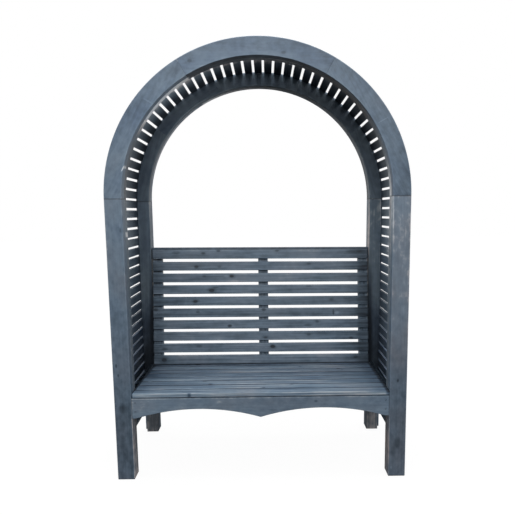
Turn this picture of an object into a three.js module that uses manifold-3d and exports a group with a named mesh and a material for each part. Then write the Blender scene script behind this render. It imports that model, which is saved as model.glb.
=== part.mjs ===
// Round-topped timber arbour seat: two arched frames joined by slats, with a slatted bench between them.
// Millimetres, +Z up. The front faces -Y, and the origin is on the ground at the centre of the footprint.

import * as THREE from 'three';
import { mergeVertices } from 'three/addons/utils/BufferGeometryUtils.js';
import Module from 'manifold-3d';

const wasm = await Module();
wasm.setup();

// Whole arbour
const overallWidth = 1400;
const overallDepth = 560;
const springHeight = 1356;

// Frames: a wide face layer and a narrower backing layer, glued flat against each other
const frameBoardWidth = 82;
const frameLayerThickness = 35;
const faceSegmentCount = 3;
const backingSegmentCount = 5;
const ringStepCount = 120;
const frameArris = 3;

// Slats that run from frame to frame, over the arch and down both sides
const coverSlatWidth = 40;
const coverSlatThickness = 16;
const coverSlatArris = 1.5;
const sideSlatGap = 11.4;
const archSlatPitch = 52.4;

// Dowels that carry the arch on the posts
const dowelDiameter = 12;
const dowelLength = 90;
const dowelSideCount = 16;

// Seat
const seatHeight = 434;
const seatSlatWidth = 51;
const seatSlatThickness = 18;
const seatSlatGap = 5;
const seatSlatArris = 3;
const leastRippedShare = 0.45;

// Boards under the seat
const seatBoardThickness = 28;
const apronDepth = 106;
const apronArchRise = 44;
const apronEndFlat = 20;
const apronArcStepCount = 24;
const sideRailDepth = 176;
const cleatWidth = 35;
const cleatDepth = 45;
const crossRailWidth = 70;
const crossRailDepth = 45;
const centreBearerWidth = 35;
const centreBearerDepth = 70;

// Back rest
const backSlatCount = 10;
const backSlatWidth = 50;
const backSlatThickness = 18;
const backSlatGap = 16;
const backSlatEndGap = 8;
const backSlatArris = 3;
const backFootGap = 5.5;
const backSetback = 412;
const topRailFromRear = 43;
const outerStileWidth = 50;
const centreStileWidth = 55;
const centreStileOffset = 16;
const stileThickness = 35;
const topRailHeight = 60;
const topRailRise = 13;

// Fits between pieces
const jointGap = 0.3;
const fuseDepth = 1;
const cutOverrun = 5;
const weldTolerance = 0.001;
const arrisStepCount = 2;

// Places that several pieces share
const outerRadius = overallWidth / 2;
const openingRadius = outerRadius - frameBoardWidth;
const slatSeatRadius = outerRadius - coverSlatThickness;
const frontPlane = -overallDepth / 2;
const rearPlane = overallDepth / 2;
const frontJointPlane = frontPlane + frameLayerThickness;
const rearJointPlane = rearPlane - frameLayerThickness;
const frontBackingPlane = frontJointPlane + frameLayerThickness;
const rearBackingPlane = rearJointPlane - frameLayerThickness;
const seatUnderside = seatHeight - seatSlatThickness;
const sideRailBottom = seatUnderside - sideRailDepth;
const apronRearPlane = frontPlane + seatBoardThickness;
const backFootY = frontPlane + backSetback;
const backFootZ = seatHeight + backFootGap;
const backPanelLength = backSlatCount * backSlatWidth + (backSlatCount - 1) * backSlatGap;
const stileFaceOffset = backSlatThickness + jointGap;
const stileBackOffset = stileFaceOffset + stileThickness;
const backPanelHalf = openingRadius - backSlatEndGap;

// The back leans just as far as brings its top rail to its place between the rear posts
const topRailUp = backPanelLength + topRailRise - topRailHeight / 2;
const topRailBehind = (stileFaceOffset + stileBackOffset) / 2;
const topRailRun = rearPlane - topRailFromRear - backFootY;
const backLean = Math.asin(topRailRun / Math.hypot(topRailUp, topRailBehind)) - Math.atan2(topRailBehind, topRailUp);

// Finishes
const slateStain = { color: 0x5b6873, roughness: 0.62, metalness: 0 };
const slateStainShade = { color: 0x535f6a, roughness: 0.66, metalness: 0 };
const slateStainSeat = { color: 0x616e7a, roughness: 0.6, metalness: 0 };
const bareDowel = { color: 0xb99a6b, roughness: 0.7, metalness: 0 };

const group = new THREE.Group();

/** Turns a closed three.js geometry into a solid, whichever way its faces are wound. */
function solidFrom(geometry) {
  const bare = geometry.clone();
  bare.deleteAttribute('normal');
  bare.deleteAttribute('uv');
  const merged = mergeVertices(bare, weldTolerance);
  const vertProperties = new Float32Array(merged.attributes.position.array);
  const outward = new Uint32Array(merged.index.array);
  const solid = new wasm.Manifold(new wasm.Mesh({ numProp: 3, vertProperties, triVerts: outward }));
  if (solid.volume() > 0) return solid;
  const inward = outward.slice();
  for (let i = 0; i < inward.length; i += 3) [inward[i + 1], inward[i + 2]] = [inward[i + 2], inward[i + 1]];
  return new wasm.Manifold(new wasm.Mesh({ numProp: 3, vertProperties, triVerts: inward }));
}

/** Adds a solid to the arbour as one named mesh. */
function addPiece(name, solid, finish) {
  const mesh = solid.getMesh();
  const geometry = new THREE.BufferGeometry();
  geometry.setAttribute('position', new THREE.BufferAttribute(new Float32Array(mesh.vertProperties), 3));
  geometry.setIndex(new THREE.BufferAttribute(new Uint32Array(mesh.triVerts), 1));
  geometry.computeVertexNormals();
  const piece = new THREE.Mesh(geometry, new THREE.MeshStandardMaterial({ ...finish, flatShading: true }));
  piece.name = name;
  group.add(piece);
}

/** A rectangle from one corner to the opposite one. Each listed corner is rounded to the arris radius. */
function easedRectangle(x0, y0, x1, y1, arris, easedCorners) {
  const corners = [
    { name: 'low-left', x: x0, y: y0, inX: 1, inY: 1, start: Math.PI },
    { name: 'low-right', x: x1, y: y0, inX: -1, inY: 1, start: -Math.PI / 2 },
    { name: 'high-right', x: x1, y: y1, inX: -1, inY: -1, start: 0 },
    { name: 'high-left', x: x0, y: y1, inX: 1, inY: -1, start: Math.PI / 2 },
  ];
  const points = [];
  for (const corner of corners) {
    if (!easedCorners.includes(corner.name)) {
      points.push(new THREE.Vector2(corner.x, corner.y));
      continue;
    }
    const centreX = corner.x + corner.inX * arris;
    const centreY = corner.y + corner.inY * arris;
    for (let step = 0; step <= arrisStepCount; step += 1) {
      const angle = corner.start + (step / arrisStepCount) * (Math.PI / 2);
      points.push(new THREE.Vector2(centreX + arris * Math.cos(angle), centreY + arris * Math.sin(angle)));
    }
  }
  return points;
}

const allCorners = ['low-left', 'low-right', 'high-right', 'high-left'];

/** A prism whose outline lies in X and Y and which stands from one height to another. */
function prismUp(points, fromZ, toZ) {
  const geometry = new THREE.ExtrudeGeometry(new THREE.Shape(points), { depth: toZ - fromZ, bevelEnabled: false });
  geometry.translate(0, 0, fromZ);
  return solidFrom(geometry);
}

/** A prism whose outline lies in Y and Z and which runs left to right. */
function prismAcross(points, fromX, toX) {
  const geometry = new THREE.ExtrudeGeometry(new THREE.Shape(points), { depth: toX - fromX, bevelEnabled: false });
  const turn = new THREE.Matrix4().makeBasis(
    new THREE.Vector3(0, 1, 0),
    new THREE.Vector3(0, 0, 1),
    new THREE.Vector3(1, 0, 0),
  );
  geometry.applyMatrix4(turn);
  geometry.translate(fromX, 0, 0);
  return solidFrom(geometry);
}

/** A prism whose outline lies in X and Z and which runs from front to back, as a geometry still to be placed. */
function prismBackGeometry(points, fromY, toY) {
  const geometry = new THREE.ExtrudeGeometry(new THREE.Shape(points), { depth: toY - fromY, bevelEnabled: false });
  geometry.rotateX(Math.PI / 2);
  geometry.translate(0, toY, 0);
  return geometry;
}

/** The way from the centre of the arch to a place on it, by the angle from the left spring over the top. */
function archDirection(angle) {
  return new THREE.Vector2(-Math.cos(angle), Math.sin(angle));
}

/** The section of a frame layer, in distance from the arch's centre and in depth, with its open edges eased. */
function layerSection(layer) {
  const { innerEdge, outerEdge, fromY, toY, easedCorners } = layer;
  return easedRectangle(innerEdge, fromY, outerEdge, toY, frameArris, easedCorners);
}

/** A post of a frame layer: the layer's section, stood up from the ground to the spring line. */
function layerPost(layer, side) {
  const points = layerSection(layer).map((point) => new THREE.Vector2(side * point.x, point.y));
  return prismUp(points, 0, springHeight - jointGap / 2);
}

/** The whole ring of a frame layer: its section turned about the arch's centre. */
function layerRing(layer) {
  const points = layerSection(layer);
  const geometry = new THREE.LatheGeometry([...points, points[0].clone()], ringStepCount);
  geometry.translate(0, 0, springHeight);
  return solidFrom(geometry);
}

/** A wedge that keeps the ring between two angles, drawn back from both by half a joint. */
function archWedge(fromAngle, toAngle) {
  const halfAngle = (toAngle - fromAngle) / 2;
  const apex = archDirection(fromAngle + halfAngle).multiplyScalar(jointGap / 2 / Math.sin(halfAngle));
  const reach = outerRadius / Math.cos(halfAngle) + cutOverrun;
  const points = [
    apex,
    archDirection(fromAngle).multiplyScalar(reach).add(apex),
    archDirection(toAngle).multiplyScalar(reach).add(apex),
  ];
  const geometry = prismBackGeometry(points, frontPlane - cutOverrun, rearPlane + cutOverrun);
  geometry.translate(0, 0, springHeight);
  return solidFrom(geometry);
}

/** A dowel's body or, with a clearance, its hole, across the spring line inside a face layer. */
function dowelSolid(side, centreY, clearance) {
  const radius = dowelDiameter / 2 + clearance;
  const length = dowelLength + 2 * clearance;
  const geometry = new THREE.CylinderGeometry(radius, radius, length, dowelSideCount);
  geometry.rotateX(Math.PI / 2);
  geometry.translate(side * (openingRadius + frameBoardWidth / 2), centreY, springHeight);
  return solidFrom(geometry);
}

/** One side slat, counted downwards from the spring line. */
function sideSlat(side, index) {
  const top = springHeight - sideSlatGap / 2 - index * (coverSlatWidth + sideSlatGap);
  const points = easedRectangle(slatSeatRadius, top - coverSlatWidth, outerRadius, top, coverSlatArris, allCorners)
    .map((point) => new THREE.Vector2(side * point.x, point.y));
  return solidFrom(prismBackGeometry(points, frontJointPlane, rearJointPlane));
}

/** One slat of the arch, laid flat on the backing layer at its angle. */
function archSlat(angle) {
  const half = coverSlatWidth / 2;
  const points = easedRectangle(-half, slatSeatRadius, half, outerRadius, coverSlatArris, allCorners);
  const geometry = prismBackGeometry(points, frontJointPlane, rearJointPlane);
  geometry.rotateY(angle - Math.PI / 2);
  geometry.translate(0, 0, springHeight);
  return solidFrom(geometry);
}

const sides = [
  { name: 'left', sign: -1 },
  { name: 'right', sign: 1 },
];
const sidePitch = coverSlatWidth + sideSlatGap;
const sideSlatCount = Math.floor((springHeight + sideSlatGap / 2 - sideRailBottom) / sidePitch);
const archSlatCount = Math.round((Math.PI * slatSeatRadius) / archSlatPitch);
const archSlatAngle = Math.PI / archSlatCount;

// The slats rest on the front backing and are fused with the rear backing, which carries them.
const frontFace = {
  innerEdge: openingRadius, outerEdge: outerRadius, fromY: frontPlane, toY: frontJointPlane,
  easedCorners: ['low-left', 'low-right'],
};
const rearFace = {
  innerEdge: openingRadius, outerEdge: outerRadius, fromY: rearJointPlane, toY: rearPlane,
  easedCorners: ['high-left', 'high-right'],
};
const frontBacking = {
  innerEdge: openingRadius, outerEdge: slatSeatRadius - jointGap, fromY: frontJointPlane, toY: frontBackingPlane,
  easedCorners: ['high-left'],
};
const rearBacking = {
  innerEdge: openingRadius, outerEdge: slatSeatRadius + fuseDepth, fromY: rearBackingPlane, toY: rearJointPlane,
  easedCorners: ['low-left'],
};

/** The face layer of one frame: two posts and three arch segments, bored for the dowels at the spring line. */
function addFaceLayer(frameName, layer) {
  const middleY = (layer.fromY + layer.toY) / 2;
  const ring = layerRing(layer);
  const segmentNames = ['left', 'top', 'right'];
  let holes = null;
  for (const side of sides) {
    const hole = dowelSolid(side.sign, middleY, jointGap);
    addPiece(`${frameName}_post_face_${side.name}`, layerPost(layer, side.sign).subtract(hole), slateStain);
    addPiece(`${frameName}_spring_dowel_${side.name}`, dowelSolid(side.sign, middleY, 0), bareDowel);
    holes = holes === null ? hole : holes.add(hole);
  }
  for (let index = 0; index < faceSegmentCount; index += 1) {
    const fromAngle = (index / faceSegmentCount) * Math.PI;
    const toAngle = ((index + 1) / faceSegmentCount) * Math.PI;
    const segment = ring.intersect(archWedge(fromAngle, toAngle)).subtract(holes);
    addPiece(`${frameName}_arch_face_${segmentNames[index] ?? index + 1}`, segment, slateStain);
  }
}

/** The backing layer of one frame. Its arch joints fall between slats, away from the face layer's joints. */
function addBackingLayer(frameName, layer, carriesSlats) {
  const ring = layerRing(layer);
  for (const side of sides) {
    let post = layerPost(layer, side.sign);
    for (let index = 0; carriesSlats && index < sideSlatCount; index += 1) {
      post = post.add(sideSlat(side.sign, index));
    }
    const name = carriesSlats ? `${frameName}_post_backing_with_side_slats` : `${frameName}_post_backing`;
    addPiece(`${name}_${side.name}`, post, slateStainShade);
  }
  for (let index = 0; index < backingSegmentCount; index += 1) {
    const firstSlat = Math.round((index / backingSegmentCount) * archSlatCount);
    const endSlat = Math.round(((index + 1) / backingSegmentCount) * archSlatCount);
    let segment = ring.intersect(archWedge(firstSlat * archSlatAngle, endSlat * archSlatAngle));
    for (let slat = firstSlat; carriesSlats && slat < endSlat; slat += 1) {
      segment = segment.add(archSlat((slat + 1 / 2) * archSlatAngle));
    }
    const name = carriesSlats ? `${frameName}_arch_backing_with_slats` : `${frameName}_arch_backing`;
    addPiece(`${name}_${index + 1}`, segment, slateStainShade);
  }
}

/** How far back the stiles' front faces lie at a given height. */
function stileFrontAt(height) {
  return backFootY + (height - backFootZ) * Math.tan(backLean) + stileFaceOffset / Math.cos(backLean);
}

/** A point of the leaning back, by its way up the slats' front faces and its offset behind them. */
function backPoint(up, behind) {
  const y = backFootY + up * Math.sin(backLean) + behind * Math.cos(backLean);
  const z = backFootZ + up * Math.cos(backLean) - behind * Math.sin(backLean);
  return new THREE.Vector2(y, z);
}

/** A board that leans with the back, given by its section up and behind the slats' front faces. */
function leaningBoard(sectionPoints, fromX, toX) {
  return prismAcross(sectionPoints.map((point) => backPoint(point.y, point.x)), fromX, toX);
}

const stileFootHeight = seatUnderside + jointGap;
const crossRailFront = stileFrontAt(seatUnderside) + stileThickness / 2 - crossRailWidth / 2;

/** The seat slats from the front edge to the stiles. The last one is ripped to the width that is left. */
function addSeatSlats() {
  const limit = stileFrontAt(seatUnderside) - jointGap;
  const half = openingRadius - jointGap;
  let start = frontPlane;
  for (let number = 1; start + seatSlatWidth * leastRippedShare <= limit; number += 1) {
    const end = Math.min(start + seatSlatWidth, limit);
    const points = easedRectangle(start, seatUnderside, end, seatHeight, seatSlatArris, ['high-right', 'high-left']);
    addPiece(`seat_slat_${number}`, prismAcross(points, -half, half), slateStainSeat);
    start = end + seatSlatGap;
  }
}

/** The apron: level at both ends, with two low arcs that meet in a point at the centre. */
function addApron() {
  const half = openingRadius - jointGap;
  const bottom = seatUnderside - apronDepth;
  const chordHalf = (half - apronEndFlat) / 2;
  const arcRadius = (chordHalf ** 2 + apronArchRise ** 2) / (2 * apronArchRise);
  const arcHalfAngle = Math.asin(chordHalf / arcRadius);
  const arcCentreZ = bottom + apronArchRise - arcRadius;
  const points = [new THREE.Vector2(half, seatUnderside), new THREE.Vector2(-half, seatUnderside)];
  points.push(new THREE.Vector2(-half, bottom));
  for (const centreX of [-chordHalf, chordHalf]) {
    const firstStep = centreX < 0 ? 0 : 1;
    for (let step = firstStep; step <= apronArcStepCount; step += 1) {
      const angle = -arcHalfAngle + (2 * arcHalfAngle * step) / apronArcStepCount;
      const x = centreX + arcRadius * Math.sin(angle);
      points.push(new THREE.Vector2(x, arcCentreZ + arcRadius * Math.cos(angle)));
    }
  }
  points.push(new THREE.Vector2(half, bottom));
  addPiece('seat_apron', solidFrom(prismBackGeometry(points, frontPlane, apronRearPlane)), slateStain);
}

/** The boards that hold the seat up: side rails, cleats, rear cross rail and centre bearer. */
function addSeatFrame() {
  for (const side of sides) {
    const railSection = easedRectangle(openingRadius, sideRailBottom, openingRadius + seatBoardThickness,
      seatUnderside, seatSlatArris, ['low-left']).map((point) => new THREE.Vector2(side.sign * point.x, point.y));
    const rail = solidFrom(prismBackGeometry(railSection, frontBackingPlane, rearBackingPlane));
    addPiece(`seat_side_rail_${side.name}`, rail, slateStainShade);
    const cleatSection = easedRectangle(openingRadius - cleatWidth, seatUnderside - cleatDepth, openingRadius,
      seatUnderside, seatSlatArris, ['low-left']).map((point) => new THREE.Vector2(side.sign * point.x, point.y));
    const cleat = solidFrom(prismBackGeometry(cleatSection, apronRearPlane, crossRailFront));
    addPiece(`seat_cleat_${side.name}`, cleat, slateStainShade);
  }
  const crossSection = easedRectangle(crossRailFront, seatUnderside - crossRailDepth,
    crossRailFront + crossRailWidth, seatUnderside, seatSlatArris, ['low-left', 'low-right']);
  addPiece('seat_cross_rail', prismAcross(crossSection, -openingRadius, openingRadius), slateStainShade);
  const bearerSection = easedRectangle(-centreBearerWidth / 2, seatUnderside - centreBearerDepth,
    centreBearerWidth / 2, seatUnderside, seatSlatArris, ['low-left', 'low-right']);
  const bearer = solidFrom(prismBackGeometry(bearerSection, apronRearPlane, crossRailFront));
  addPiece('seat_centre_bearer', bearer, slateStainShade);
}

/** The back rest: level slats in front of three leaning stiles, under a top rail fixed between the rear posts. */
function addBackRest() {
  for (let number = 1; number <= backSlatCount; number += 1) {
    const bottom = backPanelLength - number * backSlatWidth - (number - 1) * backSlatGap;
    const section = easedRectangle(0, bottom, backSlatThickness, bottom + backSlatWidth, backSlatArris, allCorners);
    addPiece(`back_slat_${number}`, leaningBoard(section, -backPanelHalf, backPanelHalf), slateStain);
  }
  const railTop = topRailUp + topRailHeight / 2;
  const railBottom = topRailUp - topRailHeight / 2;
  const railSection = easedRectangle(stileFaceOffset, railBottom, stileBackOffset, railTop,
    backSlatArris, ['high-left', 'high-right']);
  const railHalf = openingRadius - jointGap;
  addPiece('back_top_rail', leaningBoard(railSection, -railHalf, railHalf), slateStain);

  const stileTop = railBottom - jointGap;
  const footFront = new THREE.Vector2(stileFrontAt(stileFootHeight), stileFootHeight);
  const footBack = footFront.clone().add(new THREE.Vector2(stileThickness / Math.cos(backLean), 0));
  const stilePoints = [footFront, footBack, backPoint(stileTop, stileBackOffset), backPoint(stileTop, stileFaceOffset)];
  const outerStart = backPanelHalf - outerStileWidth;
  addPiece('back_stile_left', prismAcross(stilePoints, -backPanelHalf, -outerStart), slateStainShade);
  const centreStart = centreStileOffset - centreStileWidth / 2;
  addPiece('back_stile_centre', prismAcross(stilePoints, centreStart, centreStart + centreStileWidth), slateStainShade);
  addPiece('back_stile_right', prismAcross(stilePoints, outerStart, backPanelHalf), slateStainShade);
}

addFaceLayer('front', frontFace);
addFaceLayer('rear', rearFace);
addBackingLayer('front', frontBacking, false);
addBackingLayer('rear', rearBacking, true);
addApron();
addSeatFrame();
addSeatSlats();
addBackRest();

export default group;
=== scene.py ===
"""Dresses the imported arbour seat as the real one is: stained timber boards, cover slats, pins and screws.

Every board is a rounded section carried along a straight or a round run, worked out with numpy in metres,
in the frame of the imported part: +Z up, the front facing -Y, the ground at zero.
"""

import logging
import zlib
from collections.abc import Callable, Iterable
from dataclasses import dataclass, field
from enum import Enum
from typing import Protocol

import bpy
import numpy as np
from mathutils import Matrix, Vector

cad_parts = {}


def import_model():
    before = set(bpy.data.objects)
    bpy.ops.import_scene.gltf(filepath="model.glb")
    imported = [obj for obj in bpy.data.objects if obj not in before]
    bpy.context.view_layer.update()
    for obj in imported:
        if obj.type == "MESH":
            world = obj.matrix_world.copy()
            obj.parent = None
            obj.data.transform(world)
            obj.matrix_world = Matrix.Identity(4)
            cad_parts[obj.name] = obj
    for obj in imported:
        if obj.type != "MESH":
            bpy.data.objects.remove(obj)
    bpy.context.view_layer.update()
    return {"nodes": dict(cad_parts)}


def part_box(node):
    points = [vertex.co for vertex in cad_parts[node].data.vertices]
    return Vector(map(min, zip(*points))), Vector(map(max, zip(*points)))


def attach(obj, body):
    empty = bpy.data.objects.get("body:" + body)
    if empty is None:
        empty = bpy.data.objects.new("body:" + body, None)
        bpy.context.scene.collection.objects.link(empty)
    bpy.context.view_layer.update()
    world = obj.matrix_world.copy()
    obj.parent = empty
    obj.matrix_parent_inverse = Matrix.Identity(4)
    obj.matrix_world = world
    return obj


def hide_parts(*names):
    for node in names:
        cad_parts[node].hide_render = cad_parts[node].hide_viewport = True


Array = np.ndarray
Point = tuple[float, float, float]
Value = float | tuple[float, ...] | bpy.types.NodeSocket
Inputs = dict[int | str, Value]
Pair = tuple[float, float]
Stops = tuple[Point, ...]
Spots = tuple[tuple[int, float, float, float, float, float], ...]

LOG = logging.getLogger("arbour")

# Places and sizes that the sub-assemblies share, in metres
SPRING_HEIGHT = 1.356
OPENING_RADIUS = 0.618
SLAT_SEAT_RADIUS = 0.684
OUTER_RADIUS = 0.700
FRONT, FRONT_JOINT, FRONT_INNER = -0.280, -0.245, -0.210
REAR_INNER, REAR_JOINT, REAR = 0.210, 0.245, 0.280
SEAT_TOP, SEAT_UNDER = 0.434, 0.416
SIDE_PITCH = 0.0514
ARCH_SLAT_COUNT = 41
FACE_JOINTS = (0.0, 60.0, 120.0, 180.0)
BACKING_JOINTS = (0, 8, 16, 25, 33, 41)
JOINT = 0.0003
SIDES = (("left", -1.0), ("right", 1.0))
RIGHTWARDS, BACKWARDS, UPWARDS = (1.0, 0.0, 0.0), (0.0, 1.0, 0.0), (0.0, 0.0, 1.0)

# How finely a board is drawn
ARRIS_STEPS = 3
SHARP_EDGE = 0.0004
LEAD = 0.004
STATION_SPACING = 0.04
ARC_SPACING = 0.017

# How many knots and how many marks a board can have, where the unused ones lie, and a mark's half length
# where it runs all along or all across a board
KNOT_PLACES = 3
MARK_PLACES = 5
NOWHERE = (50.0, 50.0, 0.0)
ENDLESS = 2.0

# Where a board's pith lies in its own ways, in metres: anywhere along the trunk, to the side and below
PITH_REACH = ((0.0, 60.0), (-0.03, 0.03), (0.035, 0.11))
# How dark end grain is on the cut itself and on its arris
CUT_INK = (1.0, 0.8)
# The rings of a round head, in radii; the last one goes down into the timber
HEAD_RINGS = (0.08, 0.35, 0.6, 0.85, 1.0, 1.0)


class Slot(Enum):
    """The record's material slots."""

    FRAME = "slate_stain_frame"
    SHADE = "slate_stain_shade"
    SEAT = "slate_stain_seat"


class MarkKind(Enum):
    """What a marked place in a board is."""

    KNOT = "knot"
    # Real stains and bruises, and also painted shadows and painted highlights
    STAIN_OR_PAINTED_SHADING = "mark"


class Side(Enum):
    """A side of a board, as the way of its section that it faces.

    LOW and HIGH are the ends of the first way, and LOW faces into the arbour on a frame board. UNDER is the
    low end of the second way: a cover slat's inner face, and the face of the back rest's boards.
    """

    LOW = (-1.0, 0.0)
    HIGH = (1.0, 0.0)
    UNDER = (0.0, -1.0)


def linear(hex_colour: str) -> tuple[float, float, float, float]:
    """Turns an sRGB hex colour into a linear one, by the sRGB curve.

    Args:
        hex_colour: The colour as # and six hex digits.

    Returns:
        Red, green, blue and an alpha of one.
    """
    channel = np.array([int(hex_colour[i : i + 2], 16) / 255 for i in (1, 3, 5)])
    curved = np.where(channel <= 0.04045, channel / 12.92, ((channel + 0.055) / 1.055) ** 2.4)
    return (*curved.tolist(), 1.0)


def unit(vector: Iterable[float]) -> Array:
    """Scales a vector to length one."""
    array = np.asarray(tuple(vector), float)
    return array / np.linalg.norm(array)


def arch_way(angle: Array | float) -> tuple[Array, Array]:
    """Gives the outward way and the way along the arch, by the angle from the left spring over the top.

    Args:
        angle: Radians, one or many.

    Returns:
        Outward (-cos, 0, sin) and forward (sin, 0, cos) unit vectors.
    """
    cos, sin = np.cos(angle), np.sin(angle)
    none = np.zeros_like(cos)
    return np.stack((-cos, none, sin), -1), np.stack((sin, none, cos), -1)


@dataclass(frozen=True)
class Section:
    """A board's section: two opposite corners, and the arris of each corner from low-left anticlockwise."""

    low: Pair
    high: Pair
    arrises: tuple[float, float, float, float]

    def rings(self, inset: Array) -> tuple[Array, Array, Array]:
        """Works out the outline for each inset.

        A corner's arc has its centre one arris in from both sides, and a point lies one radius out from it at
        an angle that runs a quarter turn. An inset takes the same length off every radius. Each arc has one
        more point on the flat before it and one on the flat after it.

        Args:
            inset: How far each outline is drawn in, in metres.

        Returns:
            Points (insets, n, 2), outward normals (n, 2) and a mask (n) that is one on the arrises.
        """
        quarter = np.linspace(0, np.pi / 2, ARRIS_STEPS + 1)
        turn = np.concatenate(([0], quarter, [np.pi / 2]))
        lead = np.zeros_like(turn)
        lead[0], lead[-1] = -LEAD, LEAD
        angle = np.array([np.pi, -np.pi / 2, 0, np.pi / 2])[:, None] + turn
        normal = np.stack((np.cos(angle), np.sin(angle)), -1)
        forward = np.stack((-np.sin(angle), np.cos(angle)), -1)
        (x0, y0), (x1, y1) = self.low, self.high
        corner = np.array([[x0, y0], [x1, y0], [x1, y1], [x0, y1]])
        inward = np.array([[1, 1], [-1, 1], [-1, -1], [1, -1]])
        radius = np.maximum(np.array(self.arrises) - inset[:, None], SHARP_EDGE)
        centre = corner + inward * (radius + inset[:, None])[..., None]
        points = centre[:, :, None] + normal * radius[..., None, None] + forward * lead[:, None]
        worn = np.broadcast_to(lead == 0, angle.shape)
        return points.reshape(len(inset), -1, 2), normal.reshape(-1, 2), worn.reshape(-1).astype(float)


class Run(Protocol):
    """A way that a section is carried along."""

    @property
    def length(self) -> float:
        """The run's length in metres."""

    def frames(self, distance: Array) -> tuple[Array, Array, Array, Array]:
        """Gives the origin, the section's two ways and the forward way at each distance."""

    def grain(self) -> tuple[Array, Array, Array]:
        """Gives the board's own ways: along its grain, across its face and through its thickness."""


@dataclass(frozen=True)
class StraightRun:
    """A straight run, with the section's first way across the board's face and its second through it."""

    start: Point
    along: Point
    across: Point
    through: Point
    length: float
    spacing: float = STATION_SPACING

    def frames(self, distance: Array) -> tuple[Array, Array, Array, Array]:
        """Moves the start along the run by each distance, and keeps the ways as they are.

        Args:
            distance: Metres from the start, one for each station.

        Returns:
            The origins, and the first, second and forward ways, each (n, 3).
        """
        origin = np.array(self.start) + distance[:, None] * unit(self.along)
        ways = [np.broadcast_to(unit(way), origin.shape) for way in (self.across, self.through, self.along)]
        return origin, *ways

    def grain(self) -> tuple[Array, Array, Array]:
        """The grain runs along the board."""
        return unit(self.along), unit(self.across), unit(self.through)


@dataclass(frozen=True)
class ArcRun:
    """A round run over the arch, from one angle to another, with the section's first way outwards."""

    start_angle: float
    end_angle: float
    joint: float = JOINT
    spacing: float = ARC_SPACING
    reference_radius: float = (OPENING_RADIUS + OUTER_RADIUS) / 2

    @property
    def length(self) -> float:
        """The arc at its reference radius, less half a joint at each end."""
        return (self.end_angle - self.start_angle) * self.reference_radius - self.joint

    def frames(self, distance: Array) -> tuple[Array, Array, Array, Array]:
        """Turns the section about the arch's centre by distance over radius.

        Args:
            distance: Metres along the reference arc, one for each station.

        Returns:
            The origins, and the outward, rearward and forward ways, each (n, 3).
        """
        outward, forward = arch_way(self.start_angle + (distance + self.joint / 2) / self.reference_radius)
        origin = np.broadcast_to(np.array([0.0, 0.0, SPRING_HEIGHT]), outward.shape)
        return origin, outward, np.broadcast_to(np.array([0.0, 1.0, 0.0]), outward.shape), forward

    def grain(self) -> tuple[Array, Array, Array]:
        """The segment is sawn from a straight plank, so the grain follows its chord."""
        outward, forward = arch_way((self.start_angle + self.end_angle) / 2)
        return forward, outward, np.array([0.0, 1.0, 0.0])


@dataclass(frozen=True)
class Mark:
    """A knot, stain, bruise, painted shadow or painted light: place, half length, half width and strength."""

    at: Point
    size: Pair
    strength: float = 1.0
    blemish: MarkKind = MarkKind.STAIN_OR_PAINTED_SHADING


def knot(at: Point, size: float = 0.006, strength: float = 1.0, stretch: float = 1.5) -> Mark:
    """Marks a knot, a little longer along the grain than across it."""
    return Mark(at, (size * stretch, size), strength, MarkKind.KNOT)


@dataclass
class NodeSheet:
    """The node tree of a finish."""

    tree: bpy.types.NodeTree

    def add(
        self, kind: str, inputs: Inputs | None = None, output: int | str = 0, **settings: object
    ) -> bpy.types.NodeSocket | None:
        """Adds a node with its settings and links.

        Args:
            kind: The node's type, without the "ShaderNode" that all of them begin with.
            inputs: A constant or another node's output for each input named.
            output: Which output to give back.
            **settings: The node's own options.

        Returns:
            The chosen output, or None for a node that has none.
        """
        node = self.tree.nodes.new(f"ShaderNode{kind}")
        for name, setting in settings.items():
            setattr(node, name, setting)
        for name, value in (inputs or {}).items():
            if isinstance(value, bpy.types.NodeSocket):
                self.tree.links.new(value, node.inputs[name])
            else:
                node.inputs[name].default_value = value
        return node.outputs[output] if node.outputs else None

    def total(self, start: Value, terms: Iterable[tuple[bpy.types.NodeSocket, float]]) -> Value:
        """Adds up terms, each times its weight, onto a start value.

        Args:
            start: The value to begin with.
            terms: The terms and their weights.

        Returns:
            The sum.
        """
        result = start
        for term, weight in terms:
            result = self.add("Math", {0: term, 1: weight, 2: result}, operation="MULTIPLY_ADD")
        return result


def empty_sheet(owner: bpy.types.Material | bpy.types.World) -> NodeSheet:
    """Gives a material or a world an empty node tree.

    Args:
        owner: The material or the world.

    Returns:
        Its node sheet.
    """
    owner.use_nodes = True
    owner.node_tree.nodes.clear()
    return NodeSheet(owner.node_tree)


@dataclass(frozen=True)
class Finish:
    """How a surface is finished, as one material."""

    name: str

    def material(self) -> bpy.types.Material:
        """Builds the finish the first time, and gives it back.

        Returns:
            The material.
        """
        found = bpy.data.materials.get(self.name)
        if found:
            return found
        made = bpy.data.materials.new(self.name)
        sheet = empty_sheet(made)
        sheet.add("OutputMaterial", {"Surface": self.surface(sheet)})
        return made

    def surface(self, sheet: NodeSheet) -> Value:
        """Builds the shader."""
        raise NotImplementedError


# The patterns in stained wood, with their scales along, across and through the board and their detail: a
# wander of the trunk, streaks 11 mm and fibres 3 mm wide, clouds of the brush 25 mm and blotches 150 mm wide
PATTERNS: dict[str, tuple[Point, float]] = {
    "wander": ((1.5, 5.0, 5.0), 2.0),
    "streak": ((2.6, 90.0, 90.0), 3.0),
    "fibre": ((8.0, 380.0, 380.0), 2.0),
    "mottle": ((30.0, 42.0, 42.0), 4.0),
    "blotch": ((5.0, 9.0, 9.0), 3.0),
}
# Where a knot's dark core, the bent grain round it and a mark fade out and are full, in half sizes
CORE_FADE, HALO_FADE, MARK_FADE = (1.3, 0.45), (2.6, 0.8), (1.2, 0.35)
# Where the five shades of a stain lie on the scale of lightness
SHADE_PLACES = (0.0, 0.28, 0.5, 0.72, 1.0)


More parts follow.
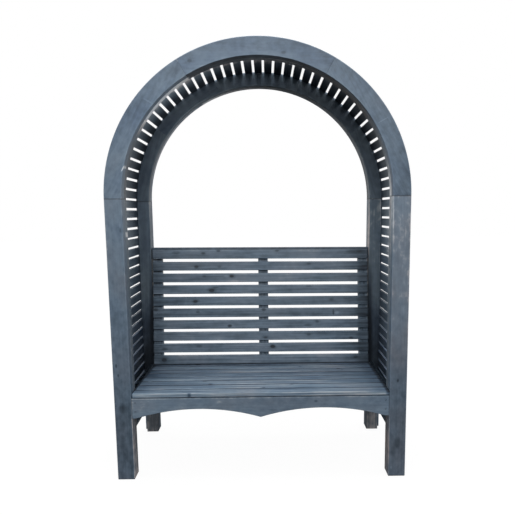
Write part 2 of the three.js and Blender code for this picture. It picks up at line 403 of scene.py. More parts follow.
@dataclass(frozen=True)
class StainedTimber(Finish):
    """Planed redwood under a brushed semi-opaque slate-blue woodstain.

    The eye gets a soft, low sheen, a grain that shows through as paler and darker streaks, knots as dark
    eyes, and edges where the stain is thin.
    """

    shades: tuple[str, str, str, str, str]
    warm_tint: str = "#dfc1b6"
    cool_tint: str = "#bfd4f2"
    cut_tint: str = "#5c5a5c"
    cut_depth: float = 0.75
    warmth: float = 0.05
    ring_weight: float = 0.03
    streak_weight: float = 0.16
    fine_weight: float = 0.12
    mottle_weight: float = 0.5
    blotch_weight: float = 0.4
    wear_weight: float = 0.2
    roughness: float = 0.5
    specular: float = 0.5
    # Growth rings of slow redwood are 1.5 to 3 mm wide; drawn at 9 mm, to show in a picture 5 mm a pixel
    ring_width: float = 0.009

    def surface(self, sheet: NodeSheet) -> Value:
        """Builds the shader from the knots, the lightness and the colour.

        Args:
            sheet: The node tree.

        Returns:
            The shader.
        """
        core, halo = self.knots(sheet)
        lightness, figure, blotch, tone = self.lightness(sheet, core, halo)
        # The stain dries a little glossier where it lies thick, in the darker and knottier places
        gloss = sheet.total(self.roughness - 0.06, ((lightness, 0.12), (figure, 0.06)))
        inputs = {
            "Base Color": self.colour(sheet, lightness, blotch, tone),
            "Roughness": gloss,
            "Normal": sheet.add("Bump", {"Height": figure, "Strength": 0.35, "Distance": 0.0006}),
            "IOR": 1.48,
            "Specular IOR Level": self.specular,
        }
        return sheet.add("BsdfPrincipled", inputs)

    def oval(self, sheet: NodeSheet, name: str, fades: Iterable[Pair]) -> list[Value]:
        """Shows a marked place as a soft-edged oval.

        Its attribute holds the offset from its middle over its half sizes, so a length of one is its rim,
        with its strength as the third number.

        Args:
            sheet: The node tree.
            name: The attribute's name.
            fades: Where each ring fades out and where it is full, in half sizes.

        Returns:
            How strongly each ring shows.
        """
        offset = sheet.add("Attribute", output="Vector", attribute_name=name)
        flat = sheet.add("VectorMath", {0: offset, 1: (1.0, 1.0, 0.0)}, operation="MULTIPLY")
        away = sheet.add("VectorMath", {0: flat}, output="Value", operation="LENGTH")
        strength = sheet.add("SeparateXYZ", {0: offset}, output="Z")
        rings = []
        for gone, full in fades:
            near = sheet.add("MapRange", {0: away, 1: gone, 2: full}, interpolation_type="SMOOTHSTEP")
            rings.append(sheet.add("Math", {0: near, 1: strength}, operation="MULTIPLY"))
        return rings

    def knots(self, sheet: NodeSheet) -> tuple[Value, Value]:
        """Finds the dark core of the knots and the ring of bent grain round it, each zero to one.

        Args:
            sheet: The node tree.

        Returns:
            How strongly the cores and the rings show.
        """
        core: Value = 0.0
        halo: Value = 0.0
        for place in range(KNOT_PLACES):
            dark, bent = self.oval(sheet, f"knot_{place + 1}", (CORE_FADE, HALO_FADE))
            core = sheet.add("Math", {0: dark, 1: core}, operation="MAXIMUM")
            halo = sheet.add("Math", {0: bent, 1: halo}, operation="MAXIMUM")
        return core, halo

    def lightness(self, sheet: NodeSheet, core: Value, halo: Value) -> tuple[Value, Value, Value, Value]:
        """Works out the wood's lightness from rings, streaks, blotches, marks, worn edges and painted
        shading.

        A ring is a sine of the distance from the pith, which wanders along the board and is pushed out
        round a knot, so that the rings bend round it.

        Args:
            sheet: The node tree.
            core: The knots' cores.
            halo: The bent grain round them.

        Returns:
            The lightness about one half, the raised figure for the bump, the blotches and the tone vector.
        """
        grain = sheet.add("Attribute", output="Vector", attribute_name="grain")
        noises = {}
        for name, (scale, detail) in PATTERNS.items():
            stretched = sheet.add("VectorMath", {0: grain, 1: scale}, operation="MULTIPLY")
            noises[name] = sheet.add("TexNoise", {"Vector": stretched, "Scale": 1.0, "Detail": detail})
        radial = sheet.add("VectorMath", {0: grain, 1: (0.0, 1.0, 1.0)}, operation="MULTIPLY")
        from_pith = sheet.add("VectorMath", {0: radial}, output="Value", operation="LENGTH")
        pushed = sheet.total(from_pith, ((noises["wander"], 0.07), (halo, 0.005)))
        phase = sheet.add("Math", {0: pushed, 1: 2 * np.pi / self.ring_width}, operation="MULTIPLY")
        ring = sheet.add("Math", {0: phase}, operation="SINE")
        tone = sheet.add("Attribute", output="Vector", attribute_name="tone")
        shift = sheet.add("SeparateXYZ", {0: tone}, output="X")
        wear = sheet.add("SeparateXYZ", {0: tone}, output="Z")
        worn = sheet.add("Math", {0: wear, 1: noises["blotch"]}, operation="MULTIPLY")
        marks = [self.oval(sheet, f"mark_{place + 1}", (MARK_FADE,))[0] for place in range(MARK_PLACES)]
        weights = {
            "streak": self.streak_weight,
            "fibre": self.fine_weight,
            "mottle": self.mottle_weight,
            "blotch": self.blotch_weight,
        }
        terms = [(noises[name], weight) for name, weight in weights.items()]
        terms += [(ring, self.ring_weight / 2), (shift, 1.0), (worn, self.wear_weight)]
        terms += [(mark, 1.0) for mark in marks]
        # The noises waver about one half, so half of their weights comes off
        lightness = sheet.total(0.5 - 0.5 * sum(weights.values()), (*terms, (halo, -0.13), (core, -0.5)))
        figure = sheet.total(0.0, ((ring, 0.3), (noises["fibre"], 0.8), (noises["streak"], 0.6)))
        return lightness, figure, noises["blotch"], tone

    def colour(self, sheet: NodeSheet, lightness: Value, blotch: Value, tone: Value) -> Value:
        """Colours the lightness with the stain's shades, tints it in blotches, and darkens the cut ends.

        Args:
            sheet: The node tree.
            lightness: How light the wood is.
            blotch: The blotches.
            tone: The tone vector, whose second number is how warm the wood and its painted shading are.

        Returns:
            The colour.
        """
        colour = sheet.add("ValToRGB", {0: lightness})
        stops = colour.node.color_ramp.elements
        while len(stops) < len(self.shades):
            stops.new(0.5)
        for stop, place, shade in zip(stops, SHADE_PLACES, self.shades):
            stop.position, stop.color = place, linear(shade)
        warm = sheet.add("SeparateXYZ", {0: tone}, output="Y")
        amount = sheet.total(self.warmth - 0.6, ((warm, 1.0), (blotch, 1.2)))
        cool = sheet.total(0.0, ((amount, -1.0),))
        cut = sheet.add("Attribute", output="Fac", attribute_name="cut_end")
        ends = sheet.total(0.0, ((cut, self.cut_depth),))
        for share, tint in ((amount, self.warm_tint), (cool, self.cool_tint), (ends, self.cut_tint)):
            inputs = {0: share, 6: colour, 7: linear(tint)}
            colour = sheet.add("Mix", inputs, output=2, data_type="RGBA", blend_type="MULTIPLY")
        return colour


FRAME_STAIN = StainedTimber(
    "slate_woodstain_on_planed_redwood", ("#1b242d", "#495968", "#637587", "#77899a", "#d0d8de")
)
# The slats are ripped from plainer, straighter-grained boards, and their streaks are stronger
SLAT_STAIN = StainedTimber(
    "slate_woodstain_on_redwood_slats",
    ("#222c37", "#465664", "#607283", "#758798", "#a9b6c1"),
    warmth=0.12,
    ring_weight=0.06,
    streak_weight=0.8,
    fine_weight=0.3,
    mottle_weight=0.3,
    blotch_weight=0.85,
)
SEAT_STAIN = StainedTimber(
    "slate_woodstain_on_worn_redwood_seat",
    ("#1f2a36", "#44566a", "#63788c", "#7f92a3", "#b6c2cb"),
    streak_weight=1.2,
    fine_weight=0.45,
    mottle_weight=0.2,
    blotch_weight=0.5,
    wear_weight=0.15,
)
# A copy of the stain for the backing layers and the cover slats, for their painted light and shade: warmer,
# and running from near black for painted shade to near white for painted highlights
PAINTED_SHADE_STAIN = StainedTimber(
    "slate_woodstain_for_painted_shade",
    ("#20272f", "#414d59", "#5b6873", "#71808c", "#e4e7e9"),
    warmth=0.1,
    streak_weight=0.24,
    fine_weight=0.1,
    mottle_weight=0.3,
)
# The boards under the seat are rough sawn with almost no sheen, and take a darker copy of the stain whose
# near-black first shade paints the shade under the seat
UNDER_SEAT_SHADE_STAIN = StainedTimber(
    "slate_woodstain_painted_under_seat_shade",
    ("#0b0e12", "#3a4651", "#5b6873", "#71808c", "#a9b6c1"),
    streak_weight=0.3,
    roughness=0.9,
    specular=0.02,
)


@dataclass(frozen=True)
class PatchyFinish(Finish):
    """A plain material of two shades that lie in patches, on Object coordinates."""

    first: str
    second: str
    patch_scale: Point
    roughness: float
    roughness_swing: float = 0.0
    metallic: float = 0.0

    def surface(self, sheet: NodeSheet) -> Value:
        """Builds the shader: the patches mix the shades, raise the surface and, with a swing, dull it.

        Args:
            sheet: The node tree.

        Returns:
            The shader.
        """
        place = sheet.add("TexCoord", output="Object")
        stretched = sheet.add("VectorMath", {0: place, 1: self.patch_scale}, operation="MULTIPLY")
        patches = sheet.add("TexNoise", {"Vector": stretched, "Scale": 1.0, "Detail": 3.0})
        shades = {0: patches, 6: linear(self.first), 7: linear(self.second)}
        swing = ((patches, self.roughness_swing),) if self.roughness_swing else ()
        inputs = {
            "Base Color": sheet.add("Mix", shades, output=2, data_type="RGBA"),
            "Metallic": self.metallic,
            "Roughness": sheet.total(self.roughness, swing),
            "Normal": sheet.add("Bump", {"Height": patches, "Strength": 0.3, "Distance": 0.0003}),
        }
        return sheet.add("BsdfPrincipled", inputs)


# Ramin dowels, lathe-turned and left bare: pale straw colour, with thin darker pores 2 mm apart along them
BARE_RAMIN = PatchyFinish("bare_ramin_dowel", "#cdb389", "#a98a5e", (500.0, 500.0, 20.0), 0.7)
# Zinc-plated heads, driven and stained over: dull grey metal, blue-black where the stain stayed on, 3 mm wide
PIN_STEEL = PatchyFinish(
    "zinced_pins_stained_over", "#333b43", "#5a646c", (330.0, 330.0, 330.0), 0.4, 0.25, metallic=0.6
)
SCREW_STEEL = PatchyFinish(
    "zinced_screws_rusted_dark", "#1b1c1f", "#3b3c3f", (330.0, 330.0, 330.0), 0.4, 0.25, metallic=0.4
)


@dataclass(frozen=True)
class PaperSweep(Finish):
    """A white paper sweep: it glows evenly, and takes only a breath of shadow."""

    glow: float = 0.93
    grey: float = 0.08

    def surface(self, sheet: NodeSheet) -> Value:
        """Adds a faint matt paper to an even glow.

        Args:
            sheet: The node tree.

        Returns:
            The shader.
        """
        glow = sheet.add("Emission", {"Color": (1.0, 1.0, 1.0, 1.0), "Strength": self.glow})
        paper = sheet.add("BsdfDiffuse", {"Color": (self.grey, self.grey, self.grey, 1.0)})
        return sheet.add("AddShader", {0: glow, 1: paper})


def make_object(name: str, places: Array, faces: list, normals: Array | None) -> bpy.types.Object:
    """Makes an object at the origin from places and faces in the row frame, shaded by the given normals.

    Args:
        name: The piece's name.
        places: Vertex places (n, 3) in metres.
        faces: Lists of vertex numbers, anticlockwise seen from outside.
        normals: A normal for each vertex, or None for the mesh's own.

    Returns:
        The new object, in the scene's collection.
    """
    mesh = bpy.data.meshes.new(name)
    mesh.from_pydata(places, [], faces, shade_flat=False)
    if normals is not None:
        mesh.normals_split_custom_set_from_vertices(normals)
    made = bpy.data.objects.new(name, mesh)
    bpy.context.scene.collection.objects.link(made)
    return made


def ring_quads(rings: int, around: int) -> Array:
    """Joins neighbouring rings of vertices by quads, given as rows of vertex numbers.

    Args:
        rings: How many rings there are.
        around: How many vertices each has.

    Returns:
        An array (n, 4) of vertex numbers.
    """
    step, spot = np.meshgrid(np.arange(rings - 1), np.arange(around), indexing="ij")
    a, b = step * around + spot, step * around + (spot + 1) % around
    return np.stack((a, b, b + around, a + around), -1).reshape(-1, 4)


@dataclass
class Board:
    """One stained board: a section carried along a run, with rounded ends, its grain and its marks."""

    name: str
    section: Section
    run: Run
    finish: StainedTimber
    slot: Slot
    replaces: tuple[str, ...] = ()
    end_arris: Pair = (0.002, 0.002)
    marks: tuple[Mark, ...] = ()
    # Painted light and shade along the board and on its sides, with how warm it is painted
    shade: Stops = ((0.0, 0.0, 0.0),)
    sides: dict[Side, Stops] = field(default_factory=dict)
    joint_ink: Pair = (1.0, 1.0)
    grading: float = 0.035
    warm_grading: float = 0.05
    # A painted fall across the board: lighter along the section's low side, darker along its high side
    fall: float = 0.0
    reshape: Callable[[Array, Array], tuple[Array, Array]] | None = None
    places: Array = field(init=False)
    turned: Array = field(init=False)
    spread: Array = field(init=False)

    def stations(self) -> tuple[Array, Array, Array, Array]:
        """Lists where the section is set down.

        At each end the section follows a quarter circle: at angle a it is drawn in by arris times (1 - cos a)
        and stands arris times (1 - sin a) from the end, from the cap at 90 degrees to the full section at 0.

        Returns:
            Distance, inset, signed end angle, and a mask of end grain, for each station.
        """
        first, last = self.end_arris
        turn = np.linspace(np.pi / 2, 0, ARRIS_STEPS + 1)
        cut = np.where(turn > 1, *CUT_INK)
        ink_first, ink_last = self.joint_ink
        middle = max(2, int(np.ceil((self.run.length - first - last - 2 * LEAD) / self.run.spacing)) + 1)
        inner = np.linspace(first + LEAD, self.run.length - last - LEAD, middle)
        still = np.zeros(middle)
        rise, fall = first * (1 - np.sin(turn)), last * (1 - np.sin(turn[::-1]))
        distance = np.concatenate((rise, inner, self.run.length - fall))
        inset = np.concatenate((first * (1 - np.cos(turn)), still, last * (1 - np.cos(turn[::-1]))))
        ends = np.concatenate((cut * ink_first, still, cut[::-1] * ink_last))
        return distance, inset, np.concatenate((-turn, still, turn[::-1])), ends

    def build(self) -> None:
        """Builds the board's mesh, dresses it, and lets it ride on the arbour."""
        distance, inset, turn, cut = self.stations()
        points, ring_normal, worn = self.section.rings(inset)
        origin, first, second, forward = self.run.frames(distance)
        stations, around = points.shape[:2]
        places = origin[:, None] + points[..., :1] * first[:, None] + points[..., 1:] * second[:, None]
        side = ring_normal[:, 0, None] * first[:, None] + ring_normal[:, 1, None] * second[:, None]
        normals = side * np.cos(turn)[:, None, None] + forward[:, None] * np.sin(turn)[:, None, None]
        places, normals = places.reshape(-1, 3), normals.reshape(-1, 3)
        if self.reshape:
            places, normals = self.reshape(places, normals)
        quads = ring_quads(stations, around)
        caps = [np.arange(around)[::-1], (stations - 1) * around + np.arange(around)]
        corner = places[quads]
        facing = np.cross(corner[:, 2] - corner[:, 0], corner[:, 3] - corner[:, 1])
        if (facing * normals[quads].sum(1)).sum() < 0:
            quads, caps = quads[:, ::-1], [cap[::-1] for cap in caps]
        made = make_object(self.name, places, quads.tolist() + [cap.tolist() for cap in caps], normals)
        self.places, self.spread = places, points[..., 0].reshape(-1)
        self.turned = np.tile(ring_normal, (stations, 1))
        ends = np.broadcast_to(cut[:, None], (stations, around)).reshape(-1)
        wear = np.maximum(worn[None], cut[:, None] > 0).reshape(-1).astype(float)
        self.paint(made.data, np.repeat(distance / self.run.length, around), wear, ends)
        made.data.materials.append(self.finish.material())
        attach(made, "root")
        if self.replaces:
            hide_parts(*self.replaces)
        LOG.info("%s: %d faces", self.name, len(made.data.polygons))

    def paint(self, mesh: bpy.types.Mesh, share: Array, wear: Array, ends: Array) -> None:
        """Writes the attributes that the finish reads.

        "grain" is the place in the board's own ways, measured from a pith of its own outside the board.
        Each knot or mark is the offset from its middle in these ways over its half sizes, with its strength.

        Args:
            mesh: The board's mesh.
            share: How far along the run each vertex is, from zero to one.
            wear: One on the arrises.
            ends: One on the cut ends.
        """
        rng = np.random.default_rng(zlib.crc32(self.name.encode()))
        along, across, through = self.run.grain()
        middle = self.places.mean(0)
        ways = np.stack((along, across, through), -1)
        pith = np.array([rng.uniform(low, high) for low, high in PITH_REACH])
        grain = (self.places - middle) @ ways + pith
        # Painted light and shade with its warmth, then the painted fall across the board and its own grading
        light, warm = (np.interp(share, *np.array(self.shade).T[[0, row]]) for row in (1, 2))
        for side, stops in self.sides.items():
            facing = self.turned @ np.array(side.value) > 0.5
            light[facing] = np.interp(share[facing], *np.array(stops).T[[0, 1]])
            warm[facing] = np.interp(share[facing], *np.array(stops).T[[0, 2]])
        middle_line = (self.section.low[0] + self.section.high[0]) / 2
        across_share = (self.spread - middle_line) / (self.section.high[0] - middle_line)
        light = light - self.fall * across_share + rng.normal(0, self.grading)
        warm = warm + rng.normal(0, self.warm_grading)
        vectors = {"grain": grain, "tone": np.stack((light, warm, wear), -1)}
        for blemish, count in ((MarkKind.KNOT, KNOT_PLACES), (MarkKind.STAIN_OR_PAINTED_SHADING, MARK_PLACES)):
            chosen = [mark for mark in self.marks if mark.blemish is blemish][:count]
            for place in range(count):
                offset = np.broadcast_to(np.array(NOWHERE), grain.shape)
                if place < len(chosen):
                    mark = chosen[place]
                    flat = (self.places - np.array(mark.at)) @ ways[:, :2] / np.array(mark.size)
                    offset = np.column_stack((flat, np.full(len(flat), mark.strength)))
                vectors[f"{blemish.value}_{place + 1}"] = offset
        for name, values in vectors.items():
            attribute = mesh.attributes.new(name, "FLOAT_VECTOR", "POINT")
            attribute.data.foreach_set("vector", np.ascontiguousarray(values, np.float32).reshape(-1))
        mesh.attributes.new("cut_end", "FLOAT", "POINT").data.foreach_set("value", ends.astype(np.float32))


@dataclass
class PinHeads:
    """A group of round heads of one kind, set flush in the timber."""

    name: str
    places: list[Point]
    normals: list[Point]
    finish: Finish
    slot: Slot
    radius: float = 0.0016
    crown: float = 0.0002
    recess: float = 0.0
    around: int = 10
    depth: float = 0.001
    arm_width: float = 0.16
    arm_reach: float = 0.72
    arm_fade: float = 0.12

    def build(self) -> None:
        """Builds every head at once.

        A head is a round grid: its height is crown times (1 - (r / radius) squared), less the recess times a
        cross that fades with the distance from its two arms, and it goes down a little into the timber.
        """
        share = np.array(HEAD_RINGS)
        angle = np.linspace(0, 2 * np.pi, self.around, endpoint=False)
        x, y = share[:, None] * np.cos(angle), share[:, None] * np.sin(angle)
        arm = np.minimum(np.abs(x), np.abs(y))
        faded = np.clip((self.arm_reach - np.hypot(x, y)) / self.arm_fade, 0, 1)
        cross = np.clip(1 - arm / self.arm_width, 0, 1) * faded
        height = self.crown * (1 - share[:, None] ** 2) - self.recess * cross
        height[-1] = -self.depth
        head = np.stack((x * self.radius, y * self.radius, height), -1).reshape(-1, 3)
        out = np.array(self.normals, float)
        aside = np.cross(out, np.where(np.abs(out[:, 2:]) > 0.9, [[1.0, 0.0, 0.0]], [[0.0, 0.0, 1.0]]))
        aside /= np.linalg.norm(aside, axis=1, keepdims=True)
        basis = np.stack((aside, np.cross(out, aside), out), 1)
        every = (np.array(self.places)[:, None] + head @ basis).reshape(-1, 3)
        # The rings grow outwards here, so the quads are turned about
        quads = ring_quads(len(share), self.around)[:, [0, 3, 2, 1]]
        starts = (np.arange(len(self.places)) * len(head)).tolist()
        centre = np.arange(self.around)
        foot = np.arange(len(head) - self.around, len(head))[::-1]
        faces = [(face + first).tolist() for first in starts for face in (*quads, centre, foot)]
        made = make_object(self.name, every, faces, None)
        made.data.materials.append(self.finish.material())
        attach(made, "root")
        LOG.info("%s: %d heads", self.name, len(starts))


def face_place(x: float, z: float) -> Point:
    """A place on the front face of the front frame, from millimetres."""
    return (x / 1000, FRONT, z / 1000)


def arch_place(angle: float, radius: float) -> Point:
    """A place on the front face of the arch, from degrees past the left spring and millimetres."""
    outward, _ = arch_way(np.radians(angle))
    return (outward[0] * radius / 1000, FRONT, SPRING_HEIGHT + outward[2] * radius / 1000)


def level(light: float, warm: float = 0.0) -> Stops:
    """The same shade all along a board."""
    return ((0.0, light, warm),)


def shadowed(light: float, left: float, right: float, warm: float = 0.0) -> Stops:
    """A painted shade that falls off towards both ends of a slat, where the posts stand over it.

    Args:
        light: How light the slat is in its middle.
        left: How much darker it is towards its left end.
        right: The same towards its right end.
        warm: How warm it is.

    Returns:
        The shades from left to right.
    """
    near = ((0.0, 1.5), (0.04, 1.3), (0.055, 0.7), (0.12, 0.33), (0.25, 0.0))
    falls = [(share, left * part) for share, part in near]
    falls += [(1 - share, right * part) for share, part in near[::-1]]
    return tuple((share, light - fall, warm) for share, fall in falls)


def spot_marks(
    slat: int, knots: Spots, stains: Spots, place: Callable[[float, float], Point], growth: float = 1.0
) -> tuple[Mark, ...]:
    """Puts the knots and stains of one slat in their places.

    Args:
        slat: The slat's number.
        knots: The knots of all the slats.
        stains: Their stains.
        place: Gives the place for metres from the arbour's middle and from the slat's middle line.
        growth: How much larger the knots are drawn.

    Returns:
        The slat's marks.
    """
    found = []
    for blemish, spots, grown in ((MarkKind.KNOT, knots, growth), (MarkKind.STAIN_OR_PAINTED_SHADING, stains, 1.0)):
        for number, x, across, half_long, half_wide, strength in spots:
            if number == slat:
                size = (half_long / 1000 * grown, half_wide / 1000 * grown)
                found.append(Mark(place(x / 1000, across / 1000), size, strength, blemish))
    return tuple(found)


PLAIN = level(0.0)
# How light and how warm each board is painted along its length, from the ground up, or from left to right:
# painted light and shade, such as the back rest's shadow on the rear posts, with the stain's own unevenness
SHADES: dict[str, Stops] = {
    "front_post_face_left": (
        (0.0, -0.1, 0.15), (0.055, -0.08, 0.15), (0.065, -0.16, 0.15), (0.25, -0.16, 0.15),
        (0.33, -0.06, 0.1), (0.55, 0.0, 0.05), (1.0, 0.11, -0.05),
    ),
    "front_post_face_right": (
        (0.0, 0.03, 0.25), (0.1, -0.03, 0.25), (0.4, -0.02, 0.3), (0.55, 0.22, 0.4), (0.7, 0.24, 0.4),
        (1.0, 0.25, 0.3),
    ),
    "front_arch_face_left": ((0.0, 0.11, -0.1), (0.4, 0.08, -0.15), (0.8, 0.0, -0.2)),
    "front_arch_face_top": ((0.0, 0.0, -0.25), (0.5, -0.03, -0.3), (1.0, -0.02, -0.2)),
    "front_arch_face_right": ((0.0, -0.02, -0.05), (1.0, -0.05, 0.0)),
    "rear_post_backing_left": (
        (0.0, 0.25, 0.42), (0.16, 0.2, 0.42), (0.25, 0.05, 0.35), (0.26, -0.55, -0.3), (0.37, -0.5, -0.3),
        (0.42, -0.32, -0.3), (0.48, -0.27, -0.3), (0.56, -0.08, -0.3), (0.7, -0.04, -0.3), (1.0, 0.14, -0.3),
    ),
    "rear_post_backing_right": (
        (0.0, 0.29, 0.42), (0.16, 0.24, 0.42), (0.25, 0.08, 0.4), (0.26, -0.42, -0.3), (0.37, -0.36, -0.3),
        (0.42, -0.22, -0.3), (0.48, -0.16, -0.3), (0.56, 0.02, -0.3), (0.7, 0.08, -0.3), (1.0, 0.2, -0.3),
    ),
    "rear_arch_backing_1": ((0.0, 0.08, -0.3), (1.0, 0.0, -0.3)),
    "rear_arch_backing_2": ((0.0, -0.03, -0.3), (1.0, 0.0, -0.3)),
    "rear_arch_backing_3": ((0.0, 0.0, -0.3), (0.5, 0.18, -0.3), (1.0, 0.08, -0.3)),
    "rear_arch_backing_4": ((0.0, 0.07, -0.35), (1.0, 0.04, -0.35)),
    "rear_arch_backing_5": ((0.0, 0.0, -0.3), (1.0, 0.05, -0.3)),
}
# The same for the sides that face into the arbour: painted shade deep inside, painted light where the light
# falls in, and painted highlights along the soffits
INNER_SHADES: dict[str, Stops] = {
    "front_post_face_left": (
        (0.0, 0.44, 0.6), (0.04, 0.33, 0.6), (0.22, 0.32, 0.5), (0.3, -0.04, 0.1), (1.0, 0.0, 0.1),
    ),
    "front_post_face_right": (
        (0.0, 0.32, 0.6), (0.04, 0.22, 0.6), (0.09, 0.32, 0.6), (0.15, 0.33, 0.5), (0.2, 0.26, 0.4),
        (0.3, 0.0, 0.1), (0.6, 0.05, 0.1), (0.8, 0.12, 0.1), (1.0, 0.5, 0.0),
    ),
    "front_arch_face_left": ((0.0, 0.1, 0.1), (0.4, -0.02, 0.1), (0.8, -0.02, 0.1), (1.0, 0.05, 0.1)),
    "front_arch_face_top": ((0.0, -0.5, 0.0), (0.4, -0.42, 0.0), (0.58, -0.1, 0.0), (0.75, -0.4, 0.0)),
    "front_arch_face_right": ((0.0, -0.45, 0.0), (0.35, -0.4, 0.0), (0.55, 0.0, 0.0), (1.0, 0.12, -0.3)),
    "front_post_backing_left": ((0.0, 0.35, 0.6), (0.22, 0.25, 0.6), (0.3, 0.12, 0.2), (1.0, 0.16, 0.1)),
    "front_post_backing_right": (
        (0.0, 0.32, 0.6), (0.07, 0.27, 0.6), (0.22, 0.24, 0.6), (0.3, 0.18, 0.2), (0.7, 0.28, 0.1),
        (1.0, 0.35, 0.0),
    ),
    "front_arch_backing_1": ((0.0, 0.0, 0.3), (0.4, -0.03, 0.3), (0.7, 0.0, 0.2), (1.0, 0.4, 0.0)),
    "front_arch_backing_2": ((0.0, 0.6, -0.2), (0.7, 0.6, -0.2), (0.73, -0.35, 0.3), (1.0, -0.35, 0.3)),
    "front_arch_backing_3": (
        (0.0, -0.1, 0.3), (0.3, 0.1, 0.3), (0.45, 0.38, 0.3), (0.85, 0.33, 0.3), (1.0, 0.2, 0.3),
    ),
    "front_arch_backing_4": ((0.0, 0.1, 0.3), (0.3, 0.05, 0.3), (0.5, -0.4, 0.3), (1.0, -0.4, 0.3)),
    "front_arch_backing_5": ((0.0, -0.05, 0.1), (0.4, 0.1, 0.0), (1.0, 0.43, -0.3)),
    "rear_post_backing_left": (
        (0.0, -0.2, 0.2), (0.25, -0.2, 0.2), (0.26, -0.5, 0.0), (0.6, -0.4, 0.0), (0.72, 0.0, 0.1),
        (0.8, 0.12, 0.2), (1.0, 0.22, 0.2),
    ),
    "rear_post_backing_right": (
        (0.0, -0.15, 0.2), (0.25, -0.15, 0.2), (0.26, -0.5, 0.0), (0.6, -0.4, 0.0), (0.72, 0.1, 0.1),
        (0.8, 0.28, 0.2), (1.0, 0.3, 0.2),
    ),
    "rear_post_face_left": (
        (0.0, -0.2, 0.2), (0.25, -0.22, 0.2), (0.26, -0.5, 0.0), (0.79, -0.5, 0.0), (0.8, -0.1, 0.2),
        (1.0, -0.05, 0.2),
    ),
    "rear_post_face_right": (
        (0.0, -0.2, 0.2), (0.25, -0.18, 0.2), (0.26, -0.5, 0.0), (0.79, -0.5, 0.0), (0.8, -0.03, 0.2),
        (1.0, 0.0, 0.2),
    ),
    "rear_arch_face_left": ((0.0, 0.16, 0.2), (0.4, 0.37, 0.2), (1.0, 0.24, 0.2)),
    "rear_arch_face_top": ((0.0, 0.85, 0.2), (0.5, 0.85, 0.2), (0.75, 0.08, 0.2), (1.0, 0.2, 0.2)),
    "rear_arch_face_right": ((0.0, 0.24, 0.2), (0.5, 0.0, 0.2), (1.0, -0.45, 0.2)),
}
# Painted shading across a segment: how much lighter it is along the opening than in its middle, and darker
# along the outside
FALLS: dict[str, float] = {
    "front_arch_face_left": 0.045,
    "front_arch_face_top": 0.09,
    "front_arch_face_right": 0.06,
}
FRAME_MARKS: dict[str, tuple[Mark, ...]] = {
    "front_post_face_left": (
        Mark(face_place(-630, 1214), (0.014, 0.005), -0.15),
        Mark(face_place(-631, 1235), (0.016, 0.004), 0.12), Mark(face_place(-682, 573), (0.012, 0.005), -0.3),
        Mark(face_place(-674, 526), (0.010, 0.005), -0.3), Mark(face_place(-660, 360), (0.03, 0.02), -0.12),
    ),
    "front_post_backing_left": (Mark((-0.618, 0.045, 1.191), (0.016, 0.0028), 0.32),),
    "front_post_face_right": (
        Mark(face_place(656, 484), (0.010, 0.006), -0.3), Mark(face_place(660, 170), (0.035, 0.02), -0.2),
        Mark(face_place(640, 130), (0.03, 0.016), -0.2), Mark(face_place(632, 45), (0.009, 0.006), 0.22),
    ),
    "front_arch_face_left": (
        Mark(arch_place(41.7, 643), (0.004, 0.03), 0.15), Mark(arch_place(12.6, 621), (0.02, 0.0035), 0.5),
        Mark(arch_place(57.0, 660), (0.03, 0.02), -0.12),
    ),
    "front_arch_face_top": (
        knot(arch_place(64, 664), 0.008, 0.45, 1.3), knot(arch_place(101, 640), 0.007, 0.4),
    ),
    "front_arch_face_right": (Mark(arch_place(149.3, 656), (0.003, 0.03), 0.18),),
    # Painted shadow beside the back rest's ends, on the rear posts' front faces
    "rear_post_backing_with_side_slats_left": (Mark((-0.622, REAR_INNER, 0.60), (0.38, 0.022), -0.3),),
    "rear_post_backing_with_side_slats_right": (Mark((0.622, REAR_INNER, 0.64), (0.42, 0.024), -0.4),),
}
# Knots and stains of the slats: the slat, millimetres from the arbour's middle and from the slat's middle
# line, half length and half width in millimetres, and strength
SEAT_KNOTS: Spots = (
    (1, -341, -25, 8.1, 4.5, 0.7), (2, 155, 18, 9, 5, 0.7), (2, 15, -20, 9, 5, 0.7),
    (3, -254, -23, 10.8, 6, 0.9), (3, -287, 20, 10.8, 6, 0.9), (6, 421, 15, 10.8, 6, 0.8),
    (6, 440, -2, 7.2, 4, 0.6), (7, 215, 0, 9, 5, 0.7), (8, -360, -8, 10.8, 6, 0.9),
)
SEAT_STAINS: Spots = (
    (1, 270, 10, 90, 5, 0.1), (1, 250, -22, 160, 4, -0.12), (3, -567, 22, 12, 6, 0.5),
    (3, 565, 20, 20, 8, -0.25), (4, 345, 25, 35, 6, -0.35),
)
BACK_KNOTS: Spots = (
    (1, -236, 20, 8, 5, 0.8), (1, -321, 7, 8, 5, 0.6), (1, 96, 17, 8, 4, 0.6), (2, -362, -3, 9, 6, 0.9),
    (2, -232, -4, 8, 5, 0.4), (2, 276, 7, 8, 5, 0.4), (3, -162, 8, 9, 6, 0.9), (3, -318, 9, 8, 5, 0.4),
    (4, -276, -6, 10, 6, 1), (5, -369, -1, 9, 6, 0.9), (5, 403, 2, 9, 5, 0.4), (6, -356, 6, 8, 5, 0.6),
    (6, 18, 15, 9, 6, 0.8), (6, -594, 20, 10, 6, 0.5), (7, -176, -10, 9, 6, 1), (7, 320, 10, 8, 5, 0.5),
    (8, 271, 2, 8, 5, 0.5), (8, 26, -12, 8, 5, 0.5), (8, 511, -20, 8, 5, 0.6), (9, 66, 3, 10, 7, 1),
    (10, -550, -1, 10, 7, 0.9), (10, 536, 4, 9, 5, 0.5),
)
